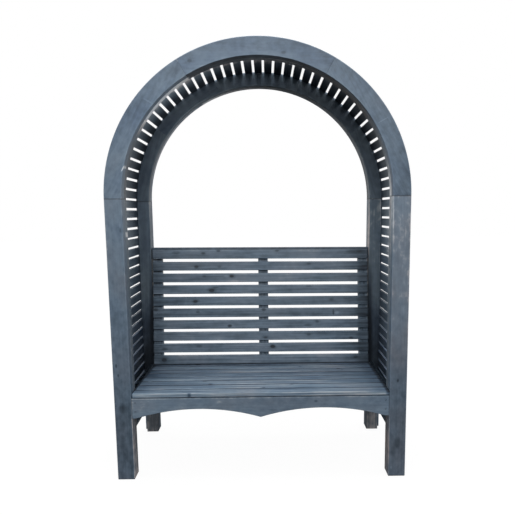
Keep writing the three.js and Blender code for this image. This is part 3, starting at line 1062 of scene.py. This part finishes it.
BACK_STAINS: Spots = (
    # Slat 1's long light line near its top edge, about 270 mm right of the middle, is a painted highlight
    (1, -474, 13, 30, 10, -0.22), (1, 270, 23, 170, 3, 0.3), (1, 540, 10, 60, 16, -0.2),
    (3, -190, 8, 20, 8, 0.22), (4, -252, 10, 20, 4, -0.25), (4, 274, 12, 25, 4, -0.25),
    (6, 412, -4, 6, 20, -0.35), (6, 432, -8, 15, 12, 0.25), (6, -356, 4, 30, 10, 0.14),
    (7, -176, -10, 30, 14, 0.18), (7, 267, -11, 30, 5, -0.22), (9, -545, -6, 20, 10, -0.22),
    (9, -351, 8, 20, 8, -0.22),
)


@dataclass
class FrameLayer:
    """One layer of one arched frame: two posts, and segments round the arch."""

    frame: str
    layer: str
    section: Section
    joints: tuple[float, ...]
    segments: tuple[str, ...]
    finish: StainedTimber
    slot: Slot
    suffix: str = ""
    foot_arris: float = 0.003
    joint_arris: float = 0.0006
    joint_ink: float = 0.35

    def build(self) -> None:
        """Builds the posts from the ground to the spring line, then the segments from joint to joint."""
        for side, sign in SIDES:
            board = f"{self.frame}_post_{self.layer}_{side}"
            node = f"{self.frame}_post_{self.layer}{self.suffix.replace('slats', 'side_slats')}_{side}"
            height = SPRING_HEIGHT - JOINT / 2
            run = StraightRun((0.0, 0.0, 0.0), UPWARDS, (sign, 0.0, 0.0), BACKWARDS, height)
            self.lay(f"{board}_board", board, node, run, (self.foot_arris, self.joint_arris), (1.0, 1.0))
        for name, start, end in zip(self.segments, self.joints, self.joints[1:]):
            board = f"{self.frame}_arch_{self.layer}_{name}"
            node = f"{self.frame}_arch_{self.layer}{self.suffix}_{name}"
            ink = tuple(1.0 if joint in (0.0, 180.0) else self.joint_ink for joint in (start, end))
            run = ArcRun(np.radians(start), np.radians(end))
            self.lay(f"{board}_segment", board, node, run, (self.joint_arris, self.joint_arris), ink)

    def lay(self, name: str, board: str, node: str, run: Run, arrises: Pair, ink: Pair) -> None:
        """Builds one board with its painted light and shade and its marks.

        Args:
            name: The piece's name.
            board: Its name in the tables of shades.
            node: The CAD node that it stands for.
            run: Its run.
            arrises: The arrises of its two ends.
            ink: How dark its two ends are.
        """
        sides = {Side.LOW: INNER_SHADES.get(board, PLAIN)}
        shade, marks = SHADES.get(board, PLAIN), FRAME_MARKS.get(node, ())
        dress = (self.finish, self.slot, (node,), arrises, marks, shade, sides, ink)
        Board(name, self.section, run, *dress, fall=FALLS.get(board, 0.0)).build()


@dataclass
class ArchedFrames:
    """The front and the rear frame, each a wide face layer and a narrower backing layer, glued together."""

    arris: float = 0.003
    face_segments: tuple[str, ...] = ("left", "top", "right")
    backing_segments: tuple[str, ...] = ("1", "2", "3", "4", "5")

    def section(self, outer: float, span: Pair, eased: tuple[int, int, int, int]) -> Section:
        """A layer's section: from the opening to an outer radius, over a span of depth.

        Args:
            outer: The outer radius.
            span: The front and the rear plane.
            eased: One for each corner that is open, and so has an arris.

        Returns:
            The section.
        """
        arrises = tuple(self.arris if corner else SHARP_EDGE for corner in eased)
        return Section((OPENING_RADIUS, span[0]), (outer, span[1]), arrises)

    def build(self) -> None:
        """Builds the four layers."""
        backing_joints = tuple(180.0 * slat / ARCH_SLAT_COUNT for slat in BACKING_JOINTS)
        face = (FACE_JOINTS, self.face_segments, FRAME_STAIN, Slot.FRAME)
        backing = (backing_joints, self.backing_segments, PAINTED_SHADE_STAIN, Slot.SHADE)
        front = self.section(OUTER_RADIUS, (FRONT, FRONT_JOINT), (1, 1, 0, 0))
        rear = self.section(OUTER_RADIUS, (REAR_JOINT, REAR), (0, 0, 1, 1))
        front_inner = self.section(SLAT_SEAT_RADIUS - JOINT, (FRONT_JOINT, FRONT_INNER), (0, 0, 0, 1))
        rear_inner = self.section(SLAT_SEAT_RADIUS - JOINT, (REAR_INNER, REAR_JOINT), (1, 0, 0, 0))
        FrameLayer("front", "face", front, *face).build()
        FrameLayer("front", "backing", front_inner, *backing).build()
        FrameLayer("rear", "backing", rear_inner, *backing, suffix="_with_slats").build()
        FrameLayer("rear", "face", rear, *face).build()


@dataclass(frozen=True)
class SlatShading:
    """The painted light and shade of a cover slat's inner side.

    It has how light the slat is painted near the front and near the back, how warm, and how much lighter and
    cooler its edges are painted, where daylight reaches them from outside.
    """

    light: float
    deep: float
    warm: float = 0.2
    lift: float = 0.0

    def face(self) -> Stops:
        """The shades of the inner face, from front to back.

        Returns:
            The place, lightness and warmth of each stop.
        """
        return (
            (0.0, self.light + 0.1, self.warm + 0.05),
            (0.42, self.light, self.warm),
            (0.78, self.deep, self.warm - 0.3),
            (1.0, self.deep - 0.1, self.warm - 0.4),
        )

    def edge(self) -> Stops:
        """The shades of the two edges."""
        return tuple((share, light + self.lift, warm - self.lift) for share, light, warm in self.face())


@dataclass
class SlatCover:
    """The slats that lie in the rebates of both frames, over the arch and down both sides."""

    width: float = 0.040
    thickness: float = 0.0157
    arris: float = 0.0015
    end_arris: float = 0.001
    side_count: int = 21
    end_gap: float = 0.0004
    pin_depth: float = 0.2275
    wander: float = 0.0005
    left_drift: float = 0.009
    # After how many slats the creep of the left side has run out, down the side and over the arch
    side_creep: int = 14
    arch_creep: int = 30
    # Painted light and shade of the inner faces, near the front and near the back, by height at the sides:
    # lighter where the light falls in, darker deep inside
    left_light: Stops = (
        (0.45, -0.25, -0.5), (0.6, -0.12, -0.3), (0.75, -0.07, -0.22), (0.95, 0.2, -0.14),
        (1.35, 0.31, -0.26),
    )
    right_light: Stops = (
        (0.45, 0.0, -0.4), (0.6, 0.22, -0.2), (0.8, 0.33, -0.08), (0.97, 0.36, 0.1), (1.35, 0.46, -0.09),
    )
    # The same by degrees past the left spring over the arch
    arch_light: Stops = (
        (0.0, 0.15, -0.28), (12.0, 0.12, -0.35), (20.0, 0.14, -0.5), (30.0, 0.25, -0.5), (45.0, 0.6, -0.5),
        (60.0, 0.6, -0.5), (75.0, 0.5, -0.5), (95.0, 0.75, -0.5), (115.0, 0.46, -0.42), (135.0, -0.1, -0.38),
        (152.0, 0.12, -0.38), (168.0, 0.33, -0.22), (180.0, 0.45, -0.1),
    )
    # How warm the side slats' painted shade is, and how much light is painted along their edges, by height
    side_glow: Stops = ((0.5, -0.5, 0.45), (0.8, -0.1, 0.0))

    def read(self, table: Stops, at: float) -> Pair:
        """Reads both values of a table at a height or an angle."""
        places, *rows = np.array(table).T
        return tuple(float(np.interp(at, places, row)) for row in rows)

    def lay(
        self, name: str, middle: Array, across: Array, outward: Array, tone: SlatShading
    ) -> tuple[list[Point], list[Point]]:
        """Lays one slat.

        Args:
            name: The piece's name.
            middle: The middle of its inner face, at zero depth.
            across: The way across its width.
            outward: The way through it, away from the arbour.
            tone: How its inner side came out.

        Returns:
            The places of its two pins, and the ways they face.
        """
        rng = np.random.default_rng(zlib.crc32(name.encode()) + 7)
        reach = REAR_JOINT - self.end_gap
        start = middle + across * rng.normal(0, self.wander) + np.array([0.0, -reach, 0.0])
        section = Section((-self.width / 2, 0.0), (self.width / 2, self.thickness), (self.arris,) * 4)
        run = StraightRun(tuple(start), BACKWARDS, tuple(across), tuple(outward), 2 * reach)
        sides = {Side.LOW: tone.edge(), Side.HIGH: tone.edge(), Side.UNDER: tone.face()}
        ends = (self.end_arris, self.end_arris)
        shade = level(0.05, -0.1)
        Board(name, section, run, PAINTED_SHADE_STAIN, Slot.SHADE, end_arris=ends, shade=shade, sides=sides).build()
        top = middle + outward * self.thickness
        pins = [tuple(top + np.array([0.0, depth, 0.0])) for depth in (-self.pin_depth, self.pin_depth)]
        return pins, [tuple(outward)] * len(pins)

    def build(self) -> None:
        """Lays the slats of both sides downwards from the spring line, then the arch's from left to right.

        The slats were laid by hand: on the left they have crept up, most of all at the spring line, and the
        creep runs out in a straight line down the side and over the arch.
        """
        for side, sign in SIDES:
            pins, ways = [], []
            for index in range(self.side_count):
                creep = self.left_drift * max(0.0, 1 - index / self.side_creep) * (side == "left")
                height = SPRING_HEIGHT - (index + 0.5) * SIDE_PITCH + creep
                middle = np.array([sign * SLAT_SEAT_RADIUS, 0.0, height])
                lights = self.read(self.left_light if side == "left" else self.right_light, height)
                tone = SlatShading(*lights, *self.read(self.side_glow, height))
                name = f"side_slat_{side}_{index + 1:02d}"
                places, faced = self.lay(name, middle, np.array(UPWARDS), np.array([sign, 0.0, 0.0]), tone)
                pins, ways = pins + places, ways + faced
            PinHeads(f"side_slat_pins_{side}", pins, ways, PIN_STEEL, Slot.SHADE).build()
        pins, ways = [], []
        for index in range(ARCH_SLAT_COUNT):
            creep = self.left_drift / OUTER_RADIUS * max(0.0, 1 - index / self.arch_creep)
            angle = (index + 0.5) * np.pi / ARCH_SLAT_COUNT + creep
            outward, forward = arch_way(angle)
            tone = SlatShading(*self.read(self.arch_light, np.degrees(angle)))
            middle = np.array([0.0, 0.0, SPRING_HEIGHT]) + outward * SLAT_SEAT_RADIUS
            places, faced = self.lay(f"arch_slat_{index + 1:02d}", middle, forward, outward, tone)
            pins, ways = pins + places, ways + faced
        PinHeads("arch_slat_pins", pins, ways, PIN_STEEL, Slot.SHADE).build()


@dataclass
class Bench:
    """The seat: slats over an apron, side rails, cleats, a cross rail and a centre bearer."""

    slat_count: int = 8
    slat_width: float = 0.051
    slat_pitch: float = 0.056
    half: float = 0.6177
    arris: float = 0.003
    end_arris: float = 0.0008
    pin_reach: float = 0.6
    apron_thickness: float = 0.028
    apron_bottom: float = 0.310
    apron_end_flat: float = 0.020
    apron_rise: float = 0.044
    apron_spacing: float = 0.008
    screw_reach: float = 0.601
    screw_heights: Pair = (0.388, 0.345)
    # Each slat's painted light, lightest on the front slat, with the board's own tone; painted shade towards
    # both ends by the posts; how warm each slat is; and painted shade on the slats' edges along the gaps
    slat_lights: tuple[float, ...] = (0.2, 0.0, 0.07, 0.04, -0.02, 0.11, 0.06, 0.0)
    slat_falls: Pair = (0.12, 0.12)
    slat_warmth: tuple[float, ...] = (0.05, 0.05, 0.05, 0.05, 0.05, 0.15, 0.15, 0.15)
    slat_edge: float = -0.6
    # Painted light on the front slat's nose, and on the apron's face, from left to right
    nose_shade: Stops = (
        (0.0, 0.27, 0.05), (0.05, 0.36, 0.05), (0.3, 0.34, 0.05), (0.45, 0.2, 0.05), (0.62, 0.32, 0.05),
        (1.0, 0.3, 0.05),
    )
    apron_shade: Stops = ((0.0, 0.15, 0.12), (0.4, 0.1, 0.12), (0.6, 0.02, 0.12), (1.0, 0.1, 0.12))

    def lift(self, x: Array) -> tuple[Array, Array]:
        """Works out how far the apron's lower edge stands up.

        Each half is an arc of one circle whose chord runs from the end flat to the middle.

        Args:
            x: Metres from the arbour's middle.

        Returns:
            The height above the apron's lowest line, and the slope, at each place.
        """
        chord = (self.half - self.apron_end_flat) / 2
        radius = (chord**2 + self.apron_rise**2) / (2 * self.apron_rise)
        away = np.clip(np.abs(x) - chord, -chord, chord)
        height = np.sqrt(radius**2 - away**2) - radius + self.apron_rise
        slope = -away / np.sqrt(radius**2 - away**2) * np.sign(x)
        return height, np.where(np.abs(x) < 2 * chord, slope, 0.0)

    def curve_apron(self, places: Array, normals: Array) -> tuple[Array, Array]:
        """Lifts the apron's lower edge to its arcs, and tilts the normals by the slope.

        Args:
            places: The board's vertex places.
            normals: Its vertex normals.

        Returns:
            Both as they are after it.
        """
        lower = places[:, 2] < (self.apron_bottom + SEAT_UNDER) / 2
        height, slope = self.lift(places[:, 0])
        places, normals = places.copy(), normals.copy()
        places[lower, 2] += height[lower]
        normals[lower, 0] -= slope[lower] * normals[lower, 2]
        return places, normals / np.linalg.norm(normals, axis=1, keepdims=True)

    def slat_marks(self, number: int, rear: float) -> tuple[Mark, ...]:
        """Marks a seat slat: painted shade along its rear edge and at its ends, then its own knots and
        stains.

        Args:
            number: The slat's number, from the front.
            rear: Where its rear edge is.

        Returns:
            The marks.
        """
        # The last slat gets a narrower, darker painted shadow: it lies in the shade of the back rest
        wide, dark = (0.0045, -1.0) if number == self.slat_count else (0.010, -0.32)
        found = [Mark((0.0, rear, SEAT_TOP), (ENDLESS, wide), dark)]
        for sign, near, more in ((-1.0, 0.008, 0.0022), (1.0, 0.019, -0.0004)):
            size = (near + (number - 1) * more, ENDLESS)
            found.append(Mark((sign * self.half, 0.0, SEAT_TOP), size, -0.5))
        line = FRONT + (number - 1) * self.slat_pitch + self.slat_width / 2
        spots = spot_marks(number, SEAT_KNOTS, SEAT_STAINS, lambda x, across: (x, line + across, SEAT_TOP))
        return (*found, *spots)

    def build(self) -> None:
        """Builds the slats, the apron, the boards below, and the pins and screws."""
        pins: list[Point] = []
        for number in range(1, self.slat_count + 1):
            node = f"seat_slat_{number}"
            low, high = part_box(node)
            arrises = (SHARP_EDGE, SHARP_EDGE, self.arris, self.arris)
            # Painted shade on the slats' edges along the gaps, and painted light on the front slat's nose
            edge = level(self.slat_edge)
            sides = {Side.HIGH: edge, Side.LOW: edge if number > 1 else self.nose_shade}
            shade = shadowed(self.slat_lights[number - 1], *self.slat_falls, self.slat_warmth[number - 1])
            marks = self.slat_marks(number, float(high[1]))
            self.board(node, (0, 1, 2), arrises, SEAT_STAIN, Slot.SEAT, sides, marks, shade)
            pins += [(x, (low[1] + high[1]) / 2, SEAT_TOP) for x in (-self.pin_reach, 0.0, self.pin_reach)]
        PinHeads("seat_slat_pins", pins, [UPWARDS] * len(pins), PIN_STEEL, Slot.SEAT).build()
        self.apron()
        under = [f"seat_{board}_{side}" for side, _ in SIDES for board in ("side_rail", "cleat")]
        for node in (*under, "seat_centre_bearer", "seat_cross_rail"):
            across = node == "seat_cross_rail"
            eased = (self.arris, SHARP_EDGE, SHARP_EDGE, self.arris)
            # Painted shade: the top edges of the boards under the seat are painted dark, the cross rail's
            # near black
            sides = {Side.HIGH: level(-0.9 if across else -0.4)}
            self.board(node, (0, 2, 1) if across else (1, 2, 0), eased, UNDER_SEAT_SHADE_STAIN, Slot.SHADE, sides)

    def apron(self) -> None:
        """Builds the apron and its four screws, dark along its top edge and paler just below it."""
        top = SEAT_UNDER - 0.0002
        arrises = (self.arris, 0.002, SHARP_EDGE, SHARP_EDGE)
        section = Section((self.apron_bottom, FRONT), (top, FRONT + self.apron_thickness), arrises)
        start = (-self.half, 0.0, 0.0)
        run = StraightRun(start, RIGHTWARDS, UPWARDS, BACKWARDS, 2 * self.half, self.apron_spacing)
        # A knot, then a painted shadow along the top edge under the seat's nose and a painted highlight below
        # it
        marks = (
            knot((0.265, FRONT, 0.388), 0.006, 0.5),
            Mark((0.0, FRONT, SEAT_UNDER - 0.0025), (ENDLESS, 0.0042), -0.56),
            Mark((0.0, FRONT, SEAT_UNDER - 0.0086), (ENDLESS, 0.003), 0.16),
        )
        dress = (FRAME_STAIN, Slot.FRAME, ("seat_apron",), (0.0006, 0.0006), marks, self.apron_shade)
        Board("seat_apron_board", section, run, *dress, reshape=self.curve_apron).build()
        reach = self.screw_reach
        screws = [(x, FRONT, height) for height in self.screw_heights for x in (-reach, reach)]
        head = {"radius": 0.0038, "crown": 0.0, "recess": 0.0012, "around": 24}
        PinHeads("apron_screws", screws, [(0.0, -1.0, 0.0)] * 4, SCREW_STEEL, Slot.FRAME, **head).build()

    def board(
        self, node: str, axes: tuple[int, int, int], arrises: tuple[float, float, float, float],
        finish: StainedTimber, slot: Slot, sides: dict[Side, Stops], marks: tuple[Mark, ...] = (),
        shade: Stops = PLAIN,
    ) -> None:
        """Builds one board on the box of its CAD node.

        Args:
            node: The CAD node that it stands for.
            axes: The box's axes along the board, and in the section's first and second way.
            arrises: The arrises of its section.
            finish: Its finish.
            slot: Its material slot, kept on the board and not used.
            sides: The shades of its edges.
            marks: Its knots and marks.
            shade: Its shades along its length.
        """
        low, high = (np.array(corner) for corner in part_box(node))
        along, *section_axes = axes
        section = Section(tuple(low[section_axes]), tuple(high[section_axes]), arrises)
        ways = np.eye(3)[list(axes)]
        run = StraightRun(tuple(ways[0] * low), *(tuple(way) for way in ways), high[along] - low[along])
        ends = (self.end_arris, self.end_arris)
        Board(f"{node}_board", section, run, finish, slot, (node,), ends, marks, shade, sides).build()


@dataclass
class BackRest:
    """The leaning back: level slats in front of three stiles, under a top rail between the rear posts."""

    foot: Pair = (0.132, 0.4395)
    lean: float = np.radians(6.3567)
    slat_count: int = 10
    slat_width: float = 0.050
    slat_gap: float = 0.016
    slat_thickness: float = 0.018
    half: float = 0.610
    outer_stile: float = 0.050
    centre_stile: float = 0.055
    stile_thickness: float = 0.035
    middle_stile: float = 0.016
    rail_height: float = 0.0625
    rail_rise: float = 0.0155
    arris: float = 0.003
    knot_growth: float = 1.45
    foot_extra: float = 0.0025
    foot_arris: float = 0.0008
    foot_reach: float = 0.012
    drop: tuple[float, float, float] = (0.0025, 0.0022, 0.0016)
    skew: tuple[float, float, float] = (0.003, 0.0052, 0.008)
    # Each slat's painted light with the board's own tone, and painted shade towards both ends by the posts
    slat_lights: tuple[float, ...] = (0.05, 0.01, 0.01, 0.1, 0.02, -0.03, 0.07, 0.07, 0.01, 0.07)
    slat_falls: Pair = (0.12, 0.2)
    slat_spacing: float = 0.015
    stile_spacing: float = 0.003
    # How dark the painted shadow under each slat on the stiles is
    stile_dark: float = -0.42

    @property
    def panel(self) -> float:
        """The length of the slatted panel, up its slope."""
        return self.slat_count * self.slat_width + (self.slat_count - 1) * self.slat_gap

    @property
    def up(self) -> Point:
        """The way up the slope."""
        return (0.0, float(np.sin(self.lean)), float(np.cos(self.lean)))

    @property
    def behind(self) -> Point:
        """The way straight back from the slats' faces."""
        return (0.0, float(np.cos(self.lean)), -float(np.sin(self.lean)))

    def place(self, x: float, up: float) -> Point:
        """A place on the slats' faces, by its way up the slope."""
        return tuple((np.array([x, *self.foot]) + up * np.array(self.up)).tolist())

    def slat_marks(self, number: int, middle: float) -> tuple[Mark, ...]:
        """The knots and stains of one slat, whose middle line is that far up the slope.

        Args:
            number: The slat's number, from the top.
            middle: How far up the slope its middle line is.

        Returns:
            Its marks.
        """
        spots = (number, BACK_KNOTS, BACK_STAINS)
        found = spot_marks(*spots, lambda x, across: self.place(x, middle + across), self.knot_growth)
        if number < self.slat_count:
            return found
        # The lowest slat gets a painted shadow along its foot, where it stands in the seat's shade
        return (*found, Mark(self.place(0.0, -self.foot_extra), (ENDLESS, 0.0045), -1.0))

    def skewed(self, places: Array, normals: Array) -> tuple[Array, Array]:
        """Lets the back hang a little askew, as it was fixed.

        It sits lower by drop, and more so to the right by skew times x, and both change from the foot up.

        Args:
            places: The board's vertex places.
            normals: Its vertex normals.

        Returns:
            The places as they are after it, and the same normals.
        """
        places = places.copy()
        up = (places[:, 2] - self.foot[1]) / (self.panel * np.cos(self.lean))
        drop, skew = (np.interp(up, (0, 0.5, 1), found) for found in (self.drop, self.skew))
        places[:, 2] -= drop + skew * places[:, 0]
        return places, normals

    def stile_shade(self, light: float, start: float, length: float) -> Stops:
        """Shades a stile's face: a painted shadow along the underside of each slat, and even elsewhere.

        Args:
            light: How light it is elsewhere.
            start: How far up the slope the stile begins.
            length: Its length.

        Returns:
            The shades.
        """
        band = ((-0.008, light), (-0.004, self.stile_dark), (0.008, self.stile_dark), (0.012, light))
        bottoms = (self.slat_bottom(number) for number in range(self.slat_count, 0, -1))
        places = ((bottom, up, shade) for bottom in bottoms for up, shade in band)
        return tuple(((bottom + up - start) / length, shade, 0.0) for bottom, up, shade in places)

    def foot_cut(self, places: Array, normals: Array) -> tuple[Array, Array]:
        """Shears a stile's foot so that its cut is level: up the slope by tan(lean) times the way behind.

        Args:
            places: The stile's vertex places.
            normals: Its vertex normals.

        Returns:
            Both as they are after it.
        """
        spot = places - np.array([0.0, *self.foot])
        up, behind = spot @ np.array(self.up), spot @ np.array(self.behind)
        low = up < up.min() + self.foot_reach
        places, normals = places.copy(), normals.copy()
        places[low] += (np.tan(self.lean) * behind[low])[:, None] * np.array(self.up)
        under = low & (normals @ np.array(self.up) < -0.99)
        normals[under] = (0.0, 0.0, -1.0)
        return places, normals

    def build(self) -> None:
        """Builds the slats with their pins, then the top rail and the stiles behind them."""
        pins: list[Point] = []
        edge = self.half - self.outer_stile / 2
        for number in range(1, self.slat_count + 1):
            lowest = number == self.slat_count
            bottom = self.slat_bottom(number)
            middle = bottom + self.slat_width / 2
            arrises = (self.foot_arris if lowest else self.arris, self.arris, self.arris, self.arris)
            foot = bottom - (self.foot_extra if lowest else 0.0)
            section = Section((foot, 0.0), (bottom + self.slat_width, self.slat_thickness), arrises)
            run = self.level_run(self.half, self.slat_spacing)
            node = f"back_slat_{number}"
            shade = shadowed(self.slat_lights[number - 1], *self.slat_falls)
            dress = (SLAT_STAIN, Slot.FRAME, (node,), (0.003, 0.003), self.slat_marks(number, middle), shade)
            Board(f"{node}_board", section, run, *dress, reshape=self.skewed).build()
            pins += [self.place(x, middle) for x in (-edge, self.middle_stile, edge)]
        pins = [tuple(place) for place in self.skewed(np.array(pins), np.array(pins))[0].tolist()]
        face = tuple(-way for way in self.behind)
        PinHeads("back_slat_pins", pins, [face] * len(pins), PIN_STEEL, Slot.FRAME).build()
        front = self.slat_thickness + JOINT
        rear = front + self.stile_thickness
        self.top_rail(front, rear)
        self.stiles(front, rear)

    def slat_bottom(self, number: int) -> float:
        """How far up the slope a slat's lower edge is."""
        return self.panel - number * self.slat_width - (number - 1) * self.slat_gap

    def level_run(self, reach: float, spacing: float = STATION_SPACING) -> StraightRun:
        """A run from left to right along the back's foot, reaching that far to both sides."""
        return StraightRun(self.place(-reach, 0.0), RIGHTWARDS, self.up, self.behind, 2 * reach, spacing)

    def top_rail(self, front: float, rear: float) -> None:
        """Builds the top rail, between two planes behind the slats' faces.

        Args:
            front: How far behind the slats' faces the front plane is.
            rear: The same for the rear plane.
        """
        top = self.panel + self.rail_rise
        arrises = (SHARP_EDGE, self.arris, self.arris, SHARP_EDGE)
        section = Section((top - self.rail_height, front), (top, rear), arrises)
        run = self.level_run(OPENING_RADIUS - JOINT)
        dress = (FRAME_STAIN, Slot.FRAME, ("back_top_rail",), (0.0008, 0.0008))
        # Painted shade on the top rail's top edge and on its face
        sides = {Side.HIGH: level(-0.4), Side.UNDER: level(-0.3)}
        Board("back_top_rail_board", section, run, *dress, sides=sides, reshape=self.skewed).build()

    def stiles(self, front: float, rear: float) -> None:
        """Builds the three stiles, from the seat up to the top rail, between the same planes.

        Args:
            front: How far behind the slats' faces the front plane is.
            rear: The same for the rear plane.
        """
        start = (SEAT_UNDER + JOINT - self.foot[1]) / np.cos(self.lean)
        length = self.panel + self.rail_rise - self.rail_height - JOINT - start
        edge = self.half - self.outer_stile / 2
        for name, middle, width, light in (
            ("left", -edge, self.outer_stile, 0.0),
            ("centre", self.middle_stile, self.centre_stile, -0.04),
            ("right", edge, self.outer_stile, 0.0),
        ):
            arrises = (0.0015, 0.0015, self.arris, self.arris)
            section = Section((middle - width / 2, front), (middle + width / 2, rear), arrises)
            ways = (self.up, RIGHTWARDS, self.behind)
            run = StraightRun(self.place(0.0, start), *ways, length, self.stile_spacing)
            sides = dict.fromkeys((Side.UNDER, Side.LOW, Side.HIGH), self.stile_shade(light, start, length))
            node = f"back_stile_{name}"
            dress = (SLAT_STAIN, Slot.SHADE, (node,), (0.001, 0.001))
            Board(f"{node}_board", section, run, *dress, sides=sides, reshape=self.foot_cut).build()


@dataclass(frozen=True)
class SoftLight:
    """A soft box of the studio: its place, aim, size, power in watts, and its light's spread in degrees."""

    name: str
    place: Point
    aim: Point
    size: Pair
    power: float
    spread: float = 180.0

    def build(self) -> None:
        """Hangs the soft box and turns it to its aim."""
        light = bpy.data.lights.new(self.name, "AREA")
        light.shape, light.size, light.size_y = "RECTANGLE", *self.size
        light.energy, light.spread = self.power, np.radians(self.spread)
        hung = bpy.data.objects.new(self.name, light)
        hung.location = self.place
        hung.rotation_euler = (Vector(self.aim) - Vector(self.place)).to_track_quat("-Z", "Y").to_euler()
        bpy.context.scene.collection.objects.link(hung)


@dataclass
class Studio:
    """Camera, soft light and a plain pale floor."""

    focal_share: float = 456.3723 / 515
    camera_place: Point = (0.03715, -2.37536, 1.28752)
    yaw: float = 0.0032
    pitch: float = 0.1154
    roll: float = 0.0115
    shift: Pair = (-10.6724 / 515, 7.7991 / 515)
    sensor: float = 36.0
    floor_reach: float = 20.0
    floor_height: float = -0.0005
    lights: tuple[SoftLight, ...] = (
        SoftLight("key_softbox", (0.2, -3.4, 2.9), (0.0, 0.0, 1.4), (3.0, 1.6), 60.0),
        SoftLight("top_softbox", (0.0, 0.1, 3.9), (0.0, 0.0, 1.0), (0.9, 1.6), 66.0),
        SoftLight("low_reflector", (0.95, -1.0, 0.25), (-0.43, 0.0, 1.82), (0.3, 0.3), 0.42, 24.0),
    )

    def camera(self) -> None:
        """Sets up the camera that was fitted to the photograph.

        Its axes: right turned by the yaw, forward dipped by the pitch, then both turned by the roll.
        """
        cos_y, sin_y = np.cos(self.yaw), np.sin(self.yaw)
        cos_p, sin_p = np.cos(self.pitch), np.sin(self.pitch)
        right = np.array([cos_y, -sin_y, 0.0])
        forward = np.array([sin_y * cos_p, cos_y * cos_p, -sin_p])
        up = np.array([sin_y * sin_p, cos_y * sin_p, cos_p])
        cos_r, sin_r = np.cos(self.roll), np.sin(self.roll)
        axes = np.column_stack((right * cos_r - up * sin_r, up * cos_r + right * sin_r, -forward))
        lens = bpy.data.cameras.new("photograph_camera")
        lens.sensor_width, lens.lens = self.sensor, self.focal_share * self.sensor
        lens.shift_x, lens.shift_y = self.shift
        camera = bpy.data.objects.new("photograph_camera", lens)
        camera.matrix_world = Matrix.Translation(self.camera_place) @ Matrix(axes.tolist()).to_4x4()
        bpy.context.scene.collection.objects.link(camera)
        bpy.context.scene.camera = camera

    def surround(self) -> None:
        """Lights the studio from all round: bright above and behind, softer in front, and dark below.

        The brightness is a sum of smooth steps of the direction's height and depth, times one that falls to
        nothing below the horizon. The backdrop itself is white.
        """
        world = bpy.data.worlds.new("pale_studio")
        sheet = empty_sheet(world)
        way = sheet.add("TexCoord", output="Generated")
        depth = sheet.add("SeparateXYZ", {0: way}, output="Y")
        height = sheet.add("SeparateXYZ", {0: way}, output="Z")
        above = sheet.add("MapRange", {0: height, 1: 0.0, 2: 0.9}, interpolation_type="SMOOTHSTEP")
        over = sheet.add(
            "MapRange", {0: height, 1: -0.35, 2: 0.02, 3: 0.05}, interpolation_type="SMOOTHSTEP"
        )
        behind = sheet.add("MapRange", {0: depth, 1: -0.3, 2: 1.0}, interpolation_type="SMOOTHSTEP")
        sky = sheet.total(0.4, ((above, 0.6), (behind, 0.5)))
        power = sheet.add("Math", {0: sky, 1: over}, operation="MULTIPLY")
        seen = sheet.add("LightPath", output="Is Camera Ray")
        strength = sheet.add("Mix", {0: seen, 2: power, 3: 1.0}, data_type="FLOAT")
        light = sheet.add("Background", {"Color": (1.0, 1.0, 1.0, 1.0), "Strength": strength})
        sheet.add("OutputWorld", {"Surface": light})
        bpy.context.scene.world = world

    def floor(self) -> None:
        """Lays the floor: a white sweep that throws no light on the timber."""
        square = ((-1, -1), (1, -1), (1, 1), (-1, 1))
        corners = [(x * self.floor_reach, y * self.floor_reach, self.floor_height) for x, y in square]
        laid = make_object("studio_floor", np.array(corners), [[0, 1, 2, 3]], None)
        laid.data.materials.append(PaperSweep("white_paper_sweep").material())
        laid.visible_diffuse = laid.visible_glossy = False

    def build(self) -> None:
        """Sets up the whole studio."""
        bpy.context.scene.view_settings.view_transform = "Standard"
        self.camera()
        self.surround()
        self.floor()
        for light in self.lights:
            light.build()


def dress_dowels(nodes: dict[str, bpy.types.Object]) -> None:
    """Gives the four dowels in the spring-line joints their bare wood.

    Args:
        nodes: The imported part's objects by name.
    """
    for name, node in nodes.items():
        if "dowel" in name:
            node.material_slots[0].material = BARE_RAMIN.material()
            LOG.info("%s: %s", name, BARE_RAMIN.name)


def main() -> None:
    """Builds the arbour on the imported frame."""
    logging.basicConfig(level=logging.INFO, format="%(name)s %(message)s")
    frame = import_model()
    Studio().build()
    ArchedFrames().build()
    SlatCover().build()
    Bench().build()
    BackRest().build()
    dress_dowels(frame["nodes"])


if __name__ == "__main__":
    main()
